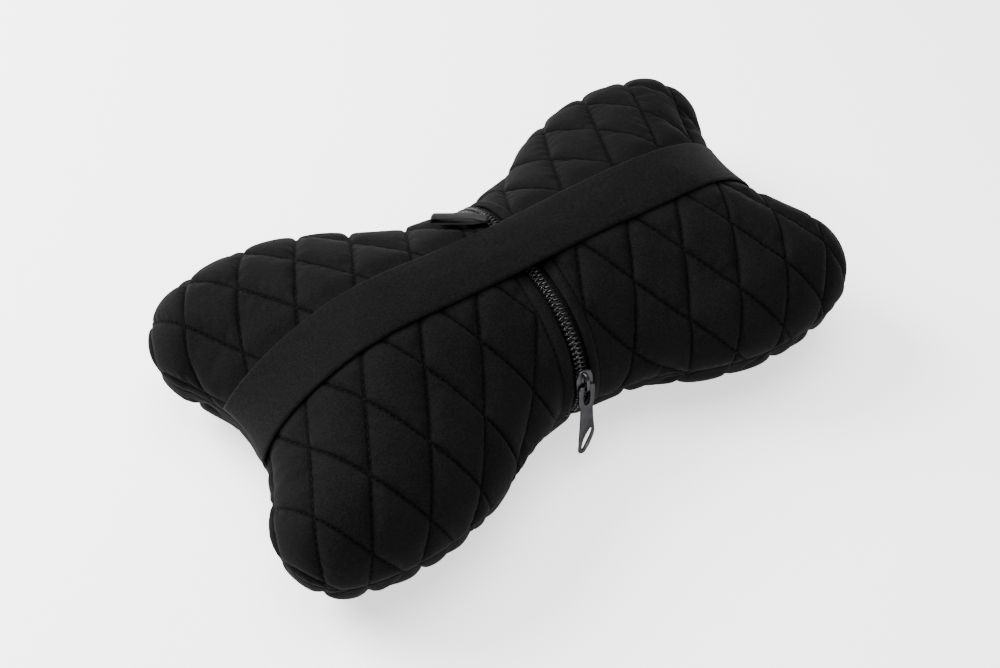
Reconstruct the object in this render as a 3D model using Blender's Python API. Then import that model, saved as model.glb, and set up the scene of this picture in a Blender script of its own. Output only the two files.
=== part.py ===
"""Quilted bone-shaped neck pillow for a car seat, lying on its head side.

The zipped rear side faces up. X runs along the pillow, Y across it, and the
floor is at Z = 0. All sizes are in metres and all angles in radians.
"""
import math

import bmesh
import bpy
import numpy as np
from mathutils import Euler, Matrix

# Outline of the seam, seen from above. Each lobe is a corner arc that runs into
# a flatter flank arc, and hollow arcs join the lobes at the ends and the waist.
LOBE_X = 0.121
LOBE_Y = 0.053
CORNER_RADIUS = 0.028
FLANK_RADIUS = 0.096
FLANK_START = math.radians(73)
NOTCH_X = 0.1327
WAIST_Y = 0.0530
WAIST_SHIFT = 0.0025

# Stuffed form above and below the seam. The waist lies shifted to the front.
EQUATOR_HEIGHT = 0.0383
REAR_RISE = 0.0387
REAR_ROUNDING = 0.057
CROWN = 0.009
FRONT_ROUNDING = 0.038
FRONT_TUCK = math.radians(17)
WAIST_TUCK = math.radians(17)
WAIST_SPREAD = 0.0555
RIDGE_SOFTENING = 0.014
PROFILE_STEPS = 32

# Quilted cover. The diamonds are set out on the flat cloth.
DIAMOND_X = 0.0274
DIAMOND_Y = 0.0528
LEFT_QUILT_START = (-0.0964, -0.0304)
RIGHT_QUILT_START = (0.0070, -0.0374)
PUFF_HEIGHT = 0.0027
COVER_THICKNESS = 0.0010
SEAM_FADE = 0.008
PUFF_STEPS = 3

# Zip.
ZIP_X = -0.0017
ZIP_SLANT = 0.065
ZIP_TOP = 0.0795
ZIP_BEND = 0.038
ZIP_BACK_BEND = 0.0425
OPENING_HALF = 0.0050
VALLEY_HALF = 0.018
TAPE_SLIT = 0.0004
TAPE_WIDTH = 0.0062
TAPE_THICKNESS = 0.0007
COIL_WIDTH = 0.0023
COIL_HEIGHT = 0.0019
COIL_SLIT = 0.0002
COIL_ROOT = 0.0010
COIL_PITCH = 0.0030
SLIDER_REST = math.radians(72)

# Slider and its pull.
SLIDER_LENGTH = 0.0120
SLIDER_WIDTH = 0.0084
SLIDER_PLATE = 0.0012
SLIDER_CORNER = 0.0025
SLIDER_CHEEK = 0.0007
CHEEK_LENGTH = 0.0084
BRIDGE_WIDTH = 0.0018
BRIDGE_BAR = 0.0011
BRIDGE_WINDOW = 0.0020
BRIDGE_LENGTH = 0.0100
PULL_PIVOT = 0.0020
PULL_LENGTH = 0.0405
PULL_WIDTH = 0.0082
PULL_THICKNESS = 0.0010
PULL_EYE_LENGTH = 0.0110
PULL_EYE_SIDE = 0.0008
PULL_BAR = 0.0011
PULL_WAIST = 0.0031
PULL_NECK = 0.0025
PULL_BELLY = 0.0060
PULL_TIP = 0.0020
PULL_DROP = math.radians(5)

# Right edge of the pull's leaf and its slanted hole, going round clockwise, as
# shares of half the pull's width and of its length.
PULL_LEAF = ((0.97, 0.70), (0.85, 0.77), (0.25, 0.92), (-0.35, 0.99))
PULL_HOLE = ((0.62, 0.655), (0.66, 0.70), (0.35, 0.79), (-0.10, 0.88), (-0.55, 0.95),
             (-0.70, 0.93), (-0.66, 0.86), (-0.35, 0.76), (0.15, 0.68), (0.45, 0.65))

# Elastic strap and label.
STRAP_WIDTH = 0.0276
STRAP_Y = 0.0006
STRAP_DRIFT = 0.0040
STRAP_DRIFT_X = 0.076
STRAP_DRIFT_SPREAD = 0.034
STRAP_THICKNESS = 0.0012
LABEL_X = -0.0030
LABEL_Y = 0.0192
LABEL_HEADING = math.radians(51)
LABEL_DROOP = math.radians(5)
LABEL_ROLL = math.radians(32)
LABEL_WIDTH = 0.0090
LABEL_REACH = 0.0250
LABEL_RIBBON = 0.0005
LABEL_LOOP = 0.0016
LABEL_NECK = 0.0030

# Clearances.
GAP = 0.0004
TAPE_GAP = 0.0010
CUSHION_GAP = 0.0018
CUSHION_DIP = 0.0030
CUSHION_RIM = 0.0010
RUNNING_GAP = 0.0005
STRAP_GAP = 0.0012
STRAP_END = 0.0008
LABEL_GAP = 0.0017

# Mesh and finish.
CREASE_ANGLE = math.radians(28)
SNAP = 0.0020
WELD = 0.00001
CUSHION_STEP = 0.014
CUSHION_SNAP = 0.0042
TAPE_STEPS = 44
STRAP_STEPS = 44
COIL_END = 0.0015
FABRIC = (0.012, 0.012, 0.013)
METAL = (0.10, 0.10, 0.10)

COLLECTION = "car_neck_pillow"
CUTTERS = "cutters"


def unit(angle):
    """Direction of an angle in the plane."""
    return np.array([math.cos(angle), math.sin(angle)])


def cross(a, b):
    """Signed area between directions in the plane."""
    return a[..., 0] * b[..., 1] - a[..., 1] * b[..., 0]


def smooth_step(value):
    """Rise from 0 to 1 with level ends."""
    value = np.clip(value, 0, 1)
    return value * value * (3 - 2 * value)


# Arc centres of one quarter of the outline.
CORNER = np.array([LOBE_X, LOBE_Y])
FLANK = CORNER - (FLANK_RADIUS - CORNER_RADIUS) * unit(FLANK_START)


def joining_radius(along, across, radius, reach):
    """Radius of the hollow arc that meets a lobe arc and stands at reach on the axis."""
    step = reach - along
    return (step * step + across * across - radius * radius) / (2 * (radius - step))


NOTCH_RADIUS = joining_radius(LOBE_X, LOBE_Y, CORNER_RADIUS, NOTCH_X)
WAIST_RADIUS = joining_radius(FLANK[1], FLANK[0], FLANK_RADIUS, WAIST_Y)
NOTCH = np.array([NOTCH_X + NOTCH_RADIUS, 0.0])
WAIST = np.array([0.0, WAIST_Y + WAIST_RADIUS])


def waist_shift(points):
    """How far the outline lies towards the front at each point, which fades to the ends."""
    return WAIST_SHIFT * np.exp(-(points[:, 0] / WAIST_SPREAD) ** 2)


def outline_depth(points):
    """Depth inside the seam outline and the direction that leads inward."""
    points = np.column_stack([points[:, 0], points[:, 1] + waist_shift(points)])
    side = np.where(points < 0, -1.0, 1.0)
    quarter = np.abs(points)
    far = 10.0
    arcs = (
        (NOTCH, NOTCH_RADIUS, 1, cross(CORNER - NOTCH, quarter - NOTCH) >= 0),
        (WAIST, WAIST_RADIUS, 1, cross(quarter - WAIST, FLANK - WAIST) >= 0),
        (CORNER, CORNER_RADIUS, -1, (cross(NOTCH - CORNER, quarter - CORNER) >= 0)
         & (cross(quarter - CORNER, unit(FLANK_START)) >= 0)),
        (FLANK, FLANK_RADIUS, -1, (cross(unit(FLANK_START), quarter - FLANK) >= 0)
         & (cross(quarter - FLANK, WAIST - FLANK) >= 0)),
    )
    depths = []
    directions = []
    for centre, radius, sense, reached in arcs:
        spoke = quarter - centre
        length = np.maximum(np.linalg.norm(spoke, axis=1), 1e-9)
        depths.append(np.where(reached, sense * (length - radius), far))
        directions.append(sense * spoke / length[:, None])
    depths = np.stack(depths, 1)
    nearest = depths.argmin(1)
    row = np.arange(len(points))
    return depths[row, nearest], np.stack(directions, 1)[row, nearest] * side


def soft_depth(points):
    """Outline depth averaged over a small ring, so that no ridge is left inside."""
    depth, inward = outline_depth(points)
    reach = np.clip(depth * 0.5, 0, RIDGE_SOFTENING)[:, None]
    ring = [outline_depth(points + reach * unit(k * math.pi / 4)) for k in range(8)]
    mean_depth = sum(item[0] for item in ring) / 8
    mean_inward = sum(item[1] for item in ring) / 8
    return 0.25 * depth + 0.75 * mean_depth, 0.25 * inward + 0.75 * mean_inward


def tuck_angle(points):
    """How far the seam is tucked under, which is only at the waist."""
    depth, inward = outline_depth(points)
    foot_x = (points - inward * depth[:, None])[:, 0]
    return WAIST_TUCK * np.exp(-(foot_x / WAIST_SPREAD) ** 2)


def rear_profile(tuck):
    """Width in, height and cloth length from the seam up to the flat of the top."""
    share = np.linspace(0, 1, PROFILE_STEPS)[None]
    angle = -tuck[:, None] + (math.pi / 2 + tuck[:, None]) * share
    width = REAR_ROUNDING * (np.cos(tuck)[:, None] - np.cos(angle))
    height = EQUATOR_HEIGHT + REAR_RISE * np.sin(angle)
    return width, height, cloth_length(width, height)


def front_profile(tuck):
    """The same from the seam down to the floor."""
    angle = np.linspace(FRONT_TUCK, math.pi / 2, PROFILE_STEPS)[None] + 0 * tuck[:, None]
    seam = EQUATOR_HEIGHT - REAR_RISE * np.sin(tuck)[:, None] - GAP
    bed = PUFF_HEIGHT / 2
    width = FRONT_ROUNDING * (math.cos(FRONT_TUCK) - np.cos(angle))
    left = (1 - np.sin(angle)) / (1 - math.sin(FRONT_TUCK))
    height = bed + (seam - bed) * left
    return width, height, cloth_length(width, height)


def cloth_length(width, height):
    """Running length of cloth along each row's profile."""
    steps = np.hypot(np.diff(width, axis=1), np.diff(height, axis=1))
    return np.concatenate([np.zeros((len(width), 1)), np.cumsum(steps, 1)], 1)


def read_profile(table, length, at):
    """Value of each row's table where its cloth length reaches at."""
    row = np.arange(len(at))
    low = np.clip((length < at[:, None]).sum(1) - 1, 0, PROFILE_STEPS - 2)
    span = length[row, low + 1] - length[row, low]
    share = np.clip((at - length[row, low]) / span, 0, 1)
    return table[row, low] + share * (table[row, low + 1] - table[row, low])


def cloth_edge(points, profile):
    """Cloth length from the seam to each point of the flat cloth, negative outside."""
    width, height, length = profile(tuck_angle(points))
    return outline_depth(points)[0] + length[:, -1] - width[:, -1]


def zip_reach(bend):
    """Length of the zip's level part and of its bent part, on one side."""
    drop = ZIP_TOP - EQUATOR_HEIGHT + REAR_RISE * math.sin(WAIST_TUCK)
    angle = math.acos(1 - drop / bend)
    return WAIST_Y - bend * math.sin(angle), bend * angle


ZIP_FLAT, ZIP_BENT = zip_reach(ZIP_BEND)
ZIP_BACK_FLAT, ZIP_BACK_BENT = zip_reach(ZIP_BACK_BEND)


def zip_path(share):
    """Point of the zip's line, with share -1 at the front seam and 1 at the back one."""
    back = share > 0
    bend = np.where(back, ZIP_BACK_BEND, ZIP_BEND)
    level = np.where(back, ZIP_BACK_FLAT, ZIP_FLAT)
    along = np.abs(share) * np.where(back, ZIP_BACK_FLAT + ZIP_BACK_BENT, ZIP_FLAT + ZIP_BENT)
    angle = np.maximum(along - level, 0) / bend
    across = np.minimum(along, level) + bend * np.sin(angle)
    return np.sign(share) * across - WAIST_SHIFT, ZIP_TOP - bend * (1 - np.cos(angle))


ZIP_FRONT = ZIP_FLAT + WAIST_SHIFT
ZIP_CENTRE = (ZIP_X - ZIP_SLANT * ZIP_FRONT, -ZIP_FRONT, ZIP_TOP - ZIP_BEND)
WAIST_PROFILE = rear_profile(np.array([WAIST_TUCK]))
ZIP_CLOTH = WAIST_Y + WAIST_PROFILE[2][0, -1] - WAIST_PROFILE[0][0, -1]
COIL_FLOOR = GAP - COVER_THICKNESS - TAPE_GAP
PLATE_FLOOR = COIL_FLOOR + COIL_HEIGHT + RUNNING_GAP
PIVOT_HEIGHT = PLATE_FLOOR + SLIDER_PLATE + BRIDGE_WINDOW / 2


def beside_zip(points):
    """Distance of flat cloth points to the right of the zip's slanted line."""
    across = zip_path(np.clip((points[:, 1] + WAIST_SHIFT) / ZIP_CLOTH, -1, 1))[0]
    return points[:, 0] - ZIP_X - ZIP_SLANT * across


def rear_form(points, valley=True):
    """Where the quilting lines of the rear side lie for points of the flat cloth."""
    depth, inward = soft_depth(points)
    width, height, length = rear_profile(tuck_angle(points))
    spare = length[:, -1] - width[:, -1]
    edge = depth + spare
    share = np.clip(edge / length[:, -1], 0, 1)
    moved = np.where(share < 1, spare - edge + read_profile(width, length, edge), 0)
    plan = points + inward * moved[:, None]
    middle = plan[:, 1] + waist_shift(plan)
    swell = np.clip(1 - (middle / WAIST_Y) ** 2, 0, 1) * share ** 2
    z = read_profile(height, length, edge) + CROWN * swell
    form = np.column_stack([plan, z])
    if valley:
        off = (np.abs(beside_zip(points)) - OPENING_HALF) / (VALLEY_HALF - OPENING_HALF)
        blend = (1 - smooth_step(off)) * np.clip(edge / SEAM_FADE, 0, 1)
        half = WAIST_Y + spare
        y, z = zip_path(np.clip((points[:, 1] + WAIST_SHIFT) / half, -1, 1))
        bottom = np.column_stack([points[:, 0], y, z])
        form += blend[:, None] * (bottom - form)
    return form


def front_form(points):
    """The same for the front side, which lies on the floor."""
    depth, inward = soft_depth(points)
    width, height, length = front_profile(tuck_angle(points))
    spare = length[:, -1] - width[:, -1]
    edge = depth + spare
    moved = np.where(edge < length[:, -1], spare - edge + read_profile(width, length, edge), 0)
    return np.column_stack([points + inward * moved[:, None], read_profile(height, length, edge)])


def lifted(form, profile, points, lift, facing):
    """Points on a form, raised by lift along its outward direction."""
    near = np.maximum(0.001 - cloth_edge(points, profile), 0)[:, None]
    inner = points + outline_depth(points)[1] * near
    step = 0.0005
    along = form(inner + [step, 0]) - form(inner - [step, 0])
    across = form(inner + [0, step]) - form(inner - [0, step])
    normal = np.cross(along, across) * facing
    normal[:, 2] = facing * np.maximum(normal[:, 2] * facing, 0)
    normal /= np.linalg.norm(normal, axis=1)[:, None]
    return form(points) + normal * lift[:, None]


def on_rear(points, lift, valley=True):
    """Points of the rear side; without the valley they bridge the dip at the zip."""
    return lifted(lambda flat: rear_form(flat, valley), rear_profile, points, lift, 1)


def on_front(points, lift):
    """Points of the front side, which the floor presses flat."""
    raised = lifted(front_form, front_profile, points, lift, -1)
    raised[:, 2] = np.maximum(raised[:, 2], 0)
    return raised


def puff(points, start):
    """Height of the stuffed diamonds over their stitching lines."""
    right = (points[:, 0] - start[0]) / (DIAMOND_X / 2)
    down = -(points[:, 1] - start[1]) / (DIAMOND_Y / 2)
    first = np.abs(np.sin(math.pi * (down - right) / 2))
    second = np.abs(np.sin(math.pi * (down + right) / 2))
    return PUFF_HEIGHT * np.sqrt(first * second)


def sheet(points_x, points_y):
    """A flat square grid, one unit wide, as an editable mesh."""
    mesh = bmesh.new()
    bmesh.ops.create_grid(mesh, x_segments=points_x, y_segments=points_y, size=0.5)
    return mesh


def flat_points(mesh):
    """Places of a flat mesh's vertices in the plane."""
    return np.array([vert.co[:2] for vert in mesh.verts])


def trim(mesh, inside, spacing):
    """Cut a flat sheet where inside() crosses zero, and drop the outer side."""
    value = dict(zip(mesh.verts, inside(flat_points(mesh))))
    probe = 0.0002
    for vert, level in value.items():
        if abs(level) < spacing:
            here = np.array([vert.co[:2]])
            slope = [(inside(here + step) - inside(here - step))[0] / (2 * probe)
                     for step in ([probe, 0], [0, probe])]
            steep = slope[0] ** 2 + slope[1] ** 2
            vert.co.x -= level * slope[0] / steep
            vert.co.y -= level * slope[1] / steep
            value[vert] = 0.0
    for edge in list(mesh.edges):
        first, second = edge.verts
        if value[first] * value[second] < 0:
            share = value[first] / (value[first] - value[second])
            value[bmesh.utils.edge_split(edge, first, share)[1]] = 0.0
    rim = [vert for vert, level in value.items() if level == 0.0]
    bmesh.ops.connect_verts(mesh, verts=rim)
    outer = [vert for vert, level in value.items() if level < 0]
    bmesh.ops.delete(mesh, geom=outer, context="VERTS")
    strays = [face for face in mesh.faces if all(value[vert] == 0.0 for vert in face.verts)
              and inside(np.array([face.calc_center_median()[:2]]))[0] <= spacing * 0.1]
    bmesh.ops.delete(mesh, geom=strays, context="FACES")
    loose = [vert for vert in mesh.verts if not vert.link_faces]
    bmesh.ops.delete(mesh, geom=loose, context="VERTS")


def quilt_sheet(start):
    """A flat sheet whose grid lines follow the stitching lines of the quilt."""
    reach = math.ceil(2 * (LOBE_X + CORNER_RADIUS + REAR_ROUNDING) / DIAMOND_X) + 1
    mesh = sheet(2 * reach * PUFF_STEPS, 2 * reach * PUFF_STEPS)
    for vert in mesh.verts:
        i = round((vert.co.x + 0.5) * 2 * reach * PUFF_STEPS) / PUFF_STEPS - reach
        j = round((vert.co.y + 0.5) * 2 * reach * PUFF_STEPS) / PUFF_STEPS - reach
        vert.co.x = start[0] + (j - i) * DIAMOND_X / 2
        vert.co.y = start[1] - (i + j) * DIAMOND_Y / 2
    limit = LOBE_X + CORNER_RADIUS + REAR_ROUNDING
    remote = [vert for vert in mesh.verts if abs(vert.co.x) > limit or abs(vert.co.y) > limit]
    bmesh.ops.delete(mesh, geom=remote, context="VERTS")
    return mesh


def solid_from_sheet(name, mesh, outer, inner, colour, roughness, metallic=0.0):
    """Thicken a flat sheet and send its two faces to their places in the form."""
    bmesh.ops.triangulate(mesh, faces=mesh.faces[:])
    bmesh.ops.recalc_face_normals(mesh, faces=mesh.faces[:])
    if mesh.faces[0].normal.z < 0:
        bmesh.ops.reverse_faces(mesh, faces=mesh.faces[:])
    top = mesh.verts[:]
    grown = bmesh.ops.extrude_face_region(mesh, geom=mesh.faces[:], use_keep_orig=True)
    bottom = [item for item in grown["geom"] if isinstance(item, bmesh.types.BMVert)]
    bottom_faces = [item for item in grown["geom"] if isinstance(item, bmesh.types.BMFace)]
    bmesh.ops.reverse_faces(mesh, faces=bottom_faces)
    for verts, place in ((top, outer), (bottom, inner)):
        flat = np.array([vert.co[:2] for vert in verts])
        for vert, point in zip(verts, place(flat)):
            vert.co = point
    bmesh.ops.recalc_face_normals(mesh, faces=mesh.faces[:])
    if mesh.calc_volume(signed=True) < 0:
        bmesh.ops.reverse_faces(mesh, faces=mesh.faces[:])
    return add_object(name, mesh_data(name, mesh), colour, roughness, metallic)


def mesh_data(name, mesh):
    """Finished mesh data from an editable mesh."""
    data = bpy.data.meshes.new(name)
    mesh.to_mesh(data)
    mesh.free()
    return data


def add_object(name, data, colour, roughness, metallic=0.0):
    """A piece of the pillow with a material of its own."""
    piece = bpy.data.objects.new(name, data)
    bpy.data.collections[COLLECTION].objects.link(piece)
    material = bpy.data.materials.new(name)
    material.use_nodes = True
    shader = material.node_tree.nodes["Principled BSDF"]
    shader.inputs["Base Color"].default_value = (*colour, 1.0)
    shader.inputs["Roughness"].default_value = roughness
    shader.inputs["Metallic"].default_value = metallic
    data.materials.append(material)
    if isinstance(data, bpy.types.Mesh):
        data.shade_smooth()
        data.set_sharp_from_angle(angle=CREASE_ANGLE)
    return piece


def rear_edge(points):
    """Cloth length from the seam on the rear side."""
    return cloth_edge(points, rear_profile)


def front_edge(points):
    """Cloth length from the seam on the front side."""
    return cloth_edge(points, front_profile)


def strap_line(x):
    """Middle line of the strap on the flat cloth, which drifts over the right lobe."""
    return STRAP_Y - STRAP_DRIFT * np.exp(-((x - STRAP_DRIFT_X) / STRAP_DRIFT_SPREAD) ** 2)


def rear_puff(points, start):
    """Puffs that die away at the seam, the zip and the strap that flattens them."""
    from_seam = rear_edge(points) / SEAM_FADE
    from_zip = (np.abs(beside_zip(points)) - OPENING_HALF) / SEAM_FADE
    from_strap = (np.abs(points[:, 1] - strap_line(points[:, 0])) - STRAP_WIDTH / 2) / SEAM_FADE
    fade = smooth_step(from_seam) * smooth_step(from_zip) * smooth_step(from_strap)
    return puff(points, start) * fade


def cover_rear(name, side, start):
    """One of the two quilted panels beside the zip; side is -1 for the left one."""
    def beyond_hem(points):
        return side * beside_zip(points) - OPENING_HALF

    mesh = quilt_sheet(start)
    trim(mesh, rear_edge, SNAP)
    trim(mesh, beyond_hem, SNAP)
    hem = [edge for edge in mesh.edges
           if all(abs(beyond_hem(np.array([vert.co[:2]]))[0]) < WELD for vert in edge.verts)]
    bmesh.ops.subdivide_edges(mesh, edges=hem, cuts=1)
    return solid_from_sheet(
        name, mesh,
        lambda flat: on_rear(flat, rear_puff(flat, start)),
        lambda flat: on_rear(flat, np.full(len(flat), -COVER_THICKNESS)),
        FABRIC, 0.85)


def cover_front():
    """The quilted side that meets the head, which lies on the floor here."""
    start = (0.0, 0.0)
    mesh = quilt_sheet(start)
    trim(mesh, front_edge, SNAP)
    return solid_from_sheet(
        "cover_front", mesh,
        lambda flat: on_front(flat, puff(flat, start) * smooth_step(front_edge(flat) / SEAM_FADE)),
        lambda flat: on_front(flat, np.full(len(flat), -COVER_THICKNESS)),
        FABRIC, 0.85)


def cloth_from_plan(points, profile):
    """Flat cloth points that end up over the given points of the plan."""
    depth, inward = soft_depth(points)
    width, height, length = profile(tuck_angle(points))
    edge = read_profile(length, width, np.clip(depth, 0, width[:, -1]))
    inside = edge - (length[:, -1] - width[:, -1]) - np.clip(depth, 0, width[:, -1])
    return points + inward * inside[:, None]


def cushion_lift(flat):
    """How far the cushion stays below the cover's stitching lines."""
    under_zip = 1 - smooth_step(np.abs(beside_zip(flat)) / VALLEY_HALF)
    return -COVER_THICKNESS - CUSHION_GAP - CUSHION_DIP * under_zip


def inner_cushion():
    """The stuffed inner bag that fills the cover."""
    length = 2 * (LOBE_X + CORNER_RADIUS + CUSHION_STEP)
    width = 2 * (FLANK[1] + FLANK_RADIUS + CUSHION_STEP)
    mesh = sheet(round(length / CUSHION_STEP), round(width / CUSHION_STEP))
    bmesh.ops.scale(mesh, vec=(length, width, 1), verts=mesh.verts)
    trim(mesh, lambda points: outline_depth(points)[0] - CUSHION_RIM, CUSHION_SNAP)
    return solid_from_sheet(
        "inner_cushion", mesh,
        lambda flat: on_rear(cloth_from_plan(flat, rear_profile), cushion_lift(flat)),
        lambda flat: on_front(cloth_from_plan(flat, front_profile), cushion_lift(flat)),
        (0.75, 0.75, 0.74), 0.9)


def strip(side, near, far, half_length, steps_x, steps_y):
    """A flat strip along one side of the zip's line."""
    mesh = sheet(steps_x, steps_y)
    middle = (side * (near + far) / 2, -WAIST_SHIFT, 0)
    bmesh.ops.scale(mesh, vec=(far - near, 2 * half_length, 1), verts=mesh.verts)
    bmesh.ops.translate(mesh, vec=middle, verts=mesh.verts)
    line = -beside_zip(np.array([(0.0, vert.co.y) for vert in mesh.verts]))
    for vert, shift in zip(mesh.verts, line):
        vert.co.x += shift
    return mesh


def zip_tape(name, side):
    """The woven tape under one hem."""
    mesh = strip(side, TAPE_SLIT, TAPE_SLIT + TAPE_WIDTH, ZIP_CLOTH - GAP, 2, TAPE_STEPS)
    top = -COVER_THICKNESS - TAPE_GAP
    return solid_from_sheet(
        name, mesh,
        lambda flat: on_rear(flat, np.full(len(flat), top)),
        lambda flat: on_rear(flat, np.full(len(flat), top - TAPE_THICKNESS)),
        FABRIC, 0.8)


def zip_coil(name, side):
    """One side of the chain, with a tooth at every second step."""
    half = ZIP_CLOTH - COIL_END
    steps = 2 * round(half / COIL_PITCH) * 2
    mesh = strip(side, COIL_SLIT, COIL_SLIT + COIL_WIDTH, half, 1, steps)

    def teeth(flat):
        count = np.round((flat[:, 1] + WAIST_SHIFT + half) / (2 * half) * steps)
        high = (count % 2) == (side > 0)
        return COIL_FLOOR + np.where(high, COIL_HEIGHT, COIL_ROOT)

    return solid_from_sheet(
        name, mesh,
        lambda flat: on_rear(flat, teeth(flat)),
        lambda flat: on_rear(flat, np.full(len(flat), COIL_FLOOR)),
        (0.02, 0.02, 0.02), 0.45)


def elastic_strap():
    """The flat elastic that holds the pillow to the seat, sewn in at both end seams."""
    half_length = LOBE_X + CORNER_RADIUS + REAR_ROUNDING
    mesh = sheet(STRAP_STEPS, 3)
    bmesh.ops.scale(mesh, vec=(2 * half_length, STRAP_WIDTH, 1), verts=mesh.verts)
    for vert in mesh.verts:
        vert.co.y += strap_line(vert.co.x)
    trim(mesh, lambda points: rear_edge(points) - STRAP_END, SNAP)
    return solid_from_sheet(
        "elastic_strap", mesh,
        lambda flat: on_rear(flat, np.full(len(flat), STRAP_GAP + STRAP_THICKNESS), False),
        lambda flat: on_rear(flat, np.full(len(flat), STRAP_GAP), False),
        (0.05, 0.05, 0.055), 0.8)


def flat_outline(name, outlines, thickness):
    """A 2D curve object filled between closed outlines and given a thickness."""
    curve = bpy.data.curves.new(name, "CURVE")
    curve.dimensions = "2D"
    curve.fill_mode = "BOTH"
    curve.extrude = thickness / 2
    for points in outlines:
        spline = curve.splines.new("POLY")
        spline.points.add(len(points) - 1)
        for target, (x, y) in zip(spline.points, points):
            target.co = (x, y, 0, 1)
        spline.use_cyclic_u = True
    return curve


def solid_outline(name, outlines, thickness):
    """The same as a welded mesh, ready for a Boolean."""
    curve = bpy.data.objects.new(name, flat_outline(name, outlines, thickness))
    bpy.context.scene.collection.objects.link(curve)
    bpy.context.view_layer.update()
    data = bpy.data.meshes.new_from_object(curve.evaluated_get(bpy.context.evaluated_depsgraph_get()))
    mesh = bmesh.new()
    mesh.from_mesh(data)
    bmesh.ops.remove_doubles(mesh, verts=mesh.verts, dist=WELD)
    bmesh.ops.recalc_face_normals(mesh, faces=mesh.faces[:])
    mesh.to_mesh(data)
    mesh.free()
    bpy.data.objects.remove(curve)
    return data


def arc(centre, radius, start, end, steps):
    """Points along an arc."""
    return [(centre[0] + radius * math.cos(angle), centre[1] + radius * math.sin(angle))
            for angle in np.linspace(start, end, steps)]


def rounded_box(size, corner):
    """A box as mesh data, with its upright edges rounded if corner is given."""
    mesh = bmesh.new()
    bmesh.ops.create_cube(mesh, size=1)
    bmesh.ops.scale(mesh, vec=size, verts=mesh.verts)
    if corner:
        upright = [edge for edge in mesh.edges
                   if abs(edge.verts[0].co.z - edge.verts[1].co.z) > size[2] / 2]
        bmesh.ops.bevel(mesh, geom=upright, offset=corner, segments=3, affect="EDGES", profile=0.5)
    return mesh_data("box", mesh)


def join(piece, name, data, location, rotation=(0, 0, 0)):
    """Unite more material with a piece through a Boolean."""
    part = bpy.data.objects.new(name, data)
    bpy.data.collections[CUTTERS].objects.link(part)
    part.matrix_world = piece.matrix_world @ Matrix.LocRotScale(location, Euler(rotation), None)
    part.hide_render = True
    part.display_type = "WIRE"
    union = piece.modifiers.new(name, "BOOLEAN")
    union.operation = "UNION"
    union.object = part


def zip_slider():
    """Body and bridge of the slider, with its origin on the axis of the zip's bend."""
    size = (SLIDER_WIDTH, SLIDER_LENGTH, SLIDER_PLATE)
    plate = add_object("zip_slider", rounded_box(size, SLIDER_CORNER), METAL, 0.4, 0.9)
    middle = ZIP_BEND + PLATE_FLOOR + SLIDER_PLATE / 2
    plate.data.transform(Matrix.Translation((0, 0, middle)))
    plate.location = ZIP_CENTRE
    plate.rotation_euler = (SLIDER_REST, 0, -math.atan(ZIP_SLANT))
    bpy.context.view_layer.update()
    cheek_floor = -COVER_THICKNESS - TAPE_GAP + RUNNING_GAP
    cheek_height = PLATE_FLOOR + SLIDER_PLATE / 2 - cheek_floor
    cheek_x = COIL_SLIT + COIL_WIDTH + RUNNING_GAP + SLIDER_CHEEK / 2
    for side, name in ((-1, "slider_cheek_left"), (1, "slider_cheek_right")):
        cheek = rounded_box((SLIDER_CHEEK, CHEEK_LENGTH, cheek_height), 0)
        join(plate, name, cheek, (side * cheek_x, 0, ZIP_BEND + cheek_floor + cheek_height / 2))
    rise = BRIDGE_WINDOW + BRIDGE_BAR
    half = BRIDGE_LENGTH / 2
    outline = [(half, -SLIDER_PLATE / 2)]
    outline += arc((half - rise, 0), rise, 0, math.pi / 2, 5)
    outline += arc((rise - half, 0), rise, math.pi / 2, math.pi, 5)
    outline += [(-half, -SLIDER_PLATE / 2), (BRIDGE_BAR - half, -SLIDER_PLATE / 2)]
    outline += arc((rise - half, 0), BRIDGE_WINDOW, math.pi, math.pi / 2, 4)
    outline += arc((half - rise, 0), BRIDGE_WINDOW, math.pi / 2, 0, 4)
    outline += [(half - BRIDGE_BAR, -SLIDER_PLATE / 2)]
    join(plate, "slider_bridge", solid_outline("slider_bridge", [outline], BRIDGE_WIDTH),
         (0, 0, ZIP_BEND + PLATE_FLOOR + SLIDER_PLATE), (math.pi / 2, 0, math.pi / 2))
    return plate


def zip_pull(slider):
    """The long leaf-shaped pull, hung from its bar under the bridge."""
    top = PULL_BAR / 2
    half = PULL_WIDTH / 2
    neck = PULL_EYE_LENGTH + PULL_NECK
    shoulder = top - half / 2
    outline = arc((half / 2, shoulder), half / 2, math.pi / 2, 0, 4)
    outline += [(half, PULL_TIP - PULL_EYE_LENGTH), (PULL_WAIST, -neck), (PULL_WAIST, -neck - PULL_BELLY)]
    outline += [(half * x, -PULL_LENGTH * y) for x, y in PULL_LEAF]
    outline += arc((PULL_TIP - half, PULL_TIP - PULL_LENGTH), PULL_TIP, math.radians(280), math.pi, 4)
    outline += [(-PULL_WAIST, -neck - PULL_BELLY), (-PULL_WAIST, -neck), (-half, PULL_TIP - PULL_EYE_LENGTH)]
    outline += arc((-half / 2, shoulder), half / 2, math.pi, math.pi / 2, 4)
    eye_half = BRIDGE_WIDTH / 2 + PULL_EYE_SIDE
    eye = [(eye_half, -PULL_BAR / 2), (-eye_half, -PULL_BAR / 2)]
    eye += arc((0, -PULL_EYE_LENGTH + eye_half), eye_half, math.pi, 2 * math.pi, 7)
    hole = [(half * x, -PULL_LENGTH * y) for x, y in PULL_HOLE]
    pull = add_object("zip_pull", solid_outline("zip_pull", [outline, eye, hole], PULL_THICKNESS),
                      METAL, 0.35, 0.9)
    pull.parent = slider
    pull.location = (0, -PULL_PIVOT, ZIP_BEND + PIVOT_HEIGHT)
    pull.rotation_euler.x = PULL_DROP
    return pull


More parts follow.
